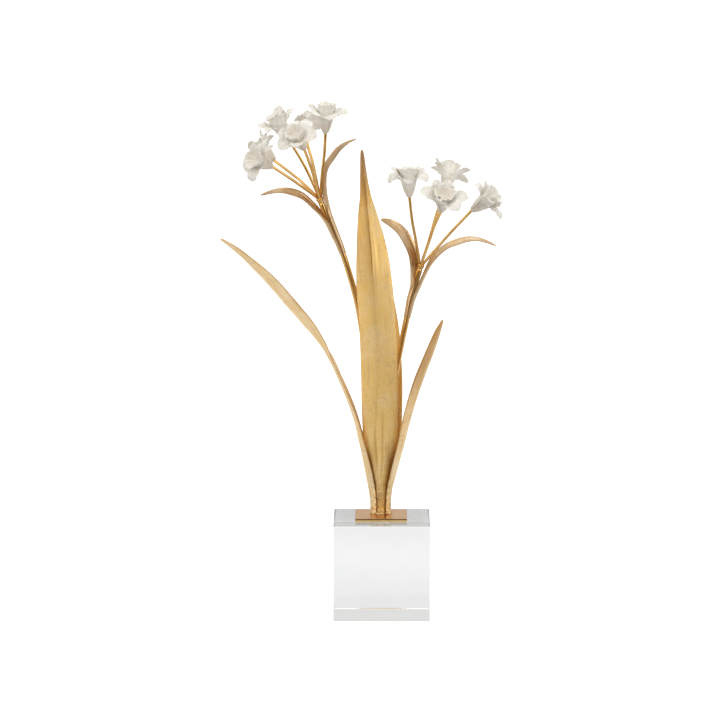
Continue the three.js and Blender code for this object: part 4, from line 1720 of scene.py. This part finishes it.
def right_head() -> FlowerHead:
    """The sizes of the lower head.

    Returns:
        The head, with four florets.
    """
    florets = [
        Floret((-8.3, -8, 59.3), (-0.05, 0, 1), seed=11, petals=[
            Petal(115, 15, 10, 4.6, roll=26, outer=False),
            Petal(-58, 16, 5.5, 3.4, roll=30, outer=False),
            Petal(84, 16, -3, 3.6, arch=3.6, roll=36),
            Petal(-112, 16, -2.5, 3.6, arch=3.4, roll=36),
            Petal(-20, 13, 2), Petal(178, 9, -3.5, 3.4, arch=0.6),
        ], corona=Corona(8.5, 8.6, 7, 1.0)),
        Floret((16.7, -32, 50.7), (0.12, -0.62, 0.77), seed=12, petals=[
            Petal(75, 19, 3.5, 4.8), Petal(30, 14.5, 7, 4.4, outer=False),
            Petal(-100, 19, 3, 5.0, outer=False), Petal(-148, 17.5, 1, 5.2),
            Petal(-25, 14, 7, 4.8), Petal(150, 10, 6, 4.6, outer=False),
        ], corona=Corona(6.5, 7.6, 7, 1.0)),
        Floret((20.6, 22, 61.5), (0.2, 0.62, 0.76), seed=13, petals=[
            Petal(-69, 13.5, 12, 2.2, outer=False), Petal(-36, 15.5, 2, 2.4),
            Petal(-88, 16, 5, 2.4), Petal(175, 12, 9, 4.0, outer=False), Petal(92, 17, 5, 2.6),
            Petal(122, 16.5, -2, 3.0, outer=False),
        ]),
        Floret((41.8, -6, 47.6), (0.78, -0.2, 0.59), seed=14, petals=[
            Petal(8, 16, 1, 3.4), Petal(-30, 16, 6.5, 2.2, outer=False), Petal(-75, 13, 9, 4.4),
            Petal(-125, 13.5, 7, 4.4, outer=False), Petal(178, 19, 1, 3.4),
            Petal(100, 13, 5, outer=False),
        ], corona=Corona(9.5, 8.6, 8, 1.0)),
    ]
    bracts = [
        Bract("left", -1, 1.7, (40, 32, 25), [
            (-7.4, -0.5, -13.8), (-7.2, -1.2, -5.5), (-6.8, -2.1, 4), (-7.8, -3.3, 13.6),
            (-11.9, -4.6, 23), (-17, -6.1, 31), (-22.9, -7.8, 36.3), (-30.7, -10, 40.2),
        ], seed=3, lean=124),
        Bract("right", 1, 1.0, (40, 32, 25), [
            (1.8, 0, -12.3), (5.2, 0.5, -4.6), (10, 1, 4.4), (15.5, 1.8, 11.2), (22.6, 2.9, 16.8),
            (29.7, 4.2, 19.6), (37.9, 5.2, 21.9), (46.1, 6.2, 22), (53.4, 7.1, 20), (60.1, 8, 17.1),
        ], seed=4),
    ]
    return FlowerHead(
        "right",
        scape=[
            (2.5, 0, 0.3), (2.5, 0, 8), (3.6, 0.2, 33), (6.1, 0.8, 73),
            (10.8, 1.6, 105), (18.5, 2.6, 145), (25.2, 3.4, 175), (30.6, 4, 193.8),
        ],
        bracts=bracts,
        florets=florets,
        stalks=[
            ((-6.1, -6, 39.3), (-3, -3, 22.2)), ((11.3, -22, 36.6), (6.9, -10, 21.6)),
            ((13.3, 13, 41.6), (7.4, 6, 21.8)), ((24.6, -4, 29.5), (13.5, -2, 16.5)),
        ],
    )


# ---- the studio


@dataclass
class Studio:
    """A white sweep, two tall softboxes, a top light and a front fill, and the camera.

    The camera stands 3.8 m off with a long lens, a little above the ornament. bounce is how bright
    the floor is from front to back for all that the camera doesn't see straight, under_block the
    share of it that is left under the block, and shadow where that share begins and ends. room is
    how bright the room is from front to back, overhead what is added above, and dusk the colour of
    its dim side. aim is the height in metres that the lamps are turned to.
    """

    lens: float = 241.5
    camera_place: Point = (5.1, -3763.6, 794.6)
    camera_drop: float = 8.94
    camera_swing: float = 0.34
    floor_half: float = 8.0
    bounce: Stops = ((-1.4, 0.2), (-0.5, 0.5), (0.05, 0.85), (0.25, 0.94), (0.5, 0.86), (2.0, 0.85))
    under_block: float = 0.64
    shadow: tuple[float, float] = (0.030, 0.046)
    room: Stops = ((-1.0, 0.24), (-0.75, 0.3), (-0.2, 0.5), (0.5, 0.8), (1.0, 0.76))
    overhead: float = 0.45
    dusk: Colour = (1.0, 0.80, 0.60)
    aim: float = 0.22

    def hue(self, mix: Nodes, light: Socket, dim: float, bright: float, white: Colour) -> Socket:
        """The room's colour where it is so light: dusk up to dim, and white from bright on.

        Args:
            mix: The tree that it is worked out in.
            light: The brightness.
            dim: The brightness up to which the colour is dusk.
            bright: The brightness from which it is white.
            white: The white.

        Returns:
            The colour.
        """
        return mix.blend(mix.span(light, dim, bright, 1.0, 0.0), white, self.dusk)

    def floor(self) -> None:
        """The white floor, which glows a little so that the sweep stays white.

        What the camera doesn't see straight gets a plain glow instead, dimmer towards the camera
        and under the block.
        """
        half, below = self.floor_half, -0.0003
        mesh = bpy.data.meshes.new("floor")
        outline = [(-half, -half), (half, -half), (half, half), (-half, half)]
        mesh.from_pydata([(*corner, below) for corner in outline], [], [(0, 1, 2, 3)])
        floor = bpy.data.objects.new("floor", mesh)
        bpy.context.scene.collection.objects.link(floor)
        mix = Recipe("white sweep")
        glow = mix.span(mix.noise(mix.place(1 / 400), 2.0), 0.0, 1.0, 0.97, 1.0)
        colour = mix.blend(glow, BLACK, (0.86, 0.86, 0.855))
        mesh.materials.append(mix.finish(
            Base_Color=colour, Roughness=1.0, Emission_Color=WHITE, Emission_Strength=0.66
        ))
        x, y, _ = mix.parts("Object")
        aside = mix.sum("MAXIMUM", mix.sum("ABSOLUTE", x, 0.0), mix.sum("ABSOLUTE", y, 0.0))
        shade = mix.span(aside, *self.shadow, self.under_block, 1.0)
        glow = mix.times(mix.steps(y, self.bounce), shade)
        hue = self.hue(mix, glow, 0.25, 0.55, WHITE)
        room = mix.node("ShaderNodeEmission", {"Color": hue, "Strength": glow}).outputs[0]
        surface = mix.tree.nodes["Material Output"].inputs["Surface"]
        mix.for_camera(room, mix.shader.outputs[0], surface)
        floor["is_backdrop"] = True

    def sky(self) -> None:
        """The room: white behind the ornament and overhead, and dim and warmer towards the camera.

        The camera itself sees plain white.
        """
        world = bpy.data.worlds.new("studio")
        world.use_nodes = True
        bpy.context.scene.world = world
        world.node_tree.nodes.clear()
        mix = Nodes(world.node_tree)
        _, y, z = mix.parts("Generated")
        light = mix.sum("ADD", mix.steps(y, self.room), mix.span(z, 0.1, 1.0, 0.0, self.overhead))
        hue = self.hue(mix, light, 0.25, 0.8, (1.0, 1.0, 0.985))
        room = mix.node("ShaderNodeBackground", {"Color": hue, "Strength": light}).outputs[0]
        white = mix.node("ShaderNodeBackground", {"Color": WHITE, "Strength": 1.0}).outputs[0]
        mix.for_camera(room, white, mix.node("ShaderNodeOutputWorld").inputs[0])

    def lamp(self, name: str, place: Point, size: tuple[float, float], radiance: float) -> None:
        """An oblong softbox, turned to the ornament's middle.

        Args:
            name: The lamp's name.
            place: Where it is, in metres.
            size: Its width and height, in metres.
            radiance: How bright its face is; its power grows with its area.
        """
        light = bpy.data.lights.new(name, "AREA")
        light.shape = "RECTANGLE"
        light.size, light.size_y = size
        light.energy = radiance * np.pi * size[0] * size[1]
        lamp = bpy.data.objects.new(name, light)
        bpy.context.scene.collection.objects.link(lamp)
        back = unit(np.array(place) - self.aim * UPWARDS)
        steep = abs(back[2]) >= 0.95
        right = np.array([1.0, 0.0, 0.0]) if steep else unit(np.cross(UPWARDS, back))
        turn = np.eye(4)
        turn[:3, :3] = np.stack([right, np.cross(back, right), back], axis=1)
        turn[:3, 3] = place
        lamp.matrix_world = Matrix(turn.tolist())

    def lamps(self) -> None:
        """The softboxes."""
        self.lamp("left softbox", (-1.15, -1.35, 0.75), (0.8, 1.5), 2.4)
        self.lamp("right softbox", (1.5, -0.9, 0.8), (0.8, 1.5), 2.2)
        self.lamp("top light", (0.0, -0.35, 1.9), (1.4, 1.1), 0.8)
        self.lamp("front fill", (-0.2, -2.0, 1.35), (1.8, 0.9), 1.0)

    def camera(self) -> None:
        """The camera, at the height and swing that the ornament is seen from."""
        camera = bpy.data.cameras.new("camera")
        camera.lens = self.lens
        camera.sensor_width = 36.0
        camera.clip_start, camera.clip_end = 0.1, 60.0
        holder = bpy.data.objects.new("camera", camera)
        bpy.context.scene.collection.objects.link(holder)
        holder.location = tuple(MM * part for part in self.camera_place)
        tilt, swing = np.radians(90 - self.camera_drop), np.radians(self.camera_swing)
        holder.rotation_euler = (tilt, 0.0, swing)
        bpy.context.scene.camera = holder

    def make(self) -> None:
        """Sets up the camera, the floor, the room and the lights, and shows colours as they are."""
        self.camera()
        self.floor()
        self.sky()
        self.lamps()
        bpy.context.scene.view_settings.view_transform = "Standard"
        bpy.context.scene.view_settings.look = "None"


# ---- the ornament


def corners(box: Iterable[Iterable[float]]) -> list[list[float]]:
    """A box's two corners as plain lists."""
    return [[float(part) for part in corner] for corner in box]


def main() -> None:
    """Builds the studio and every piece."""
    logging.basicConfig(level=logging.INFO, format="%(message)s")
    frame_box = corners(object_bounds())
    Studio().make()
    ClearBlock().make()
    BrassPlate().make()
    leaf_gilt, side_gilt = GILT_LEAF.material(), GILT_SIDE.material()
    sheath_gilt, rod_gilt, fired = GILT_SHEATH.material(), GILT_ROD.material(), PORCELAIN.material()
    for leaf in leaves():
        leaf.make(side_gilt if leaf.pale else leaf_gilt)
    for head in (left_head(), right_head()):
        head.make(sheath_gilt, rod_gilt, fired)
    {"cad": frame_box, "visual": corners(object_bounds())}


if __name__ == "__main__":
    main()
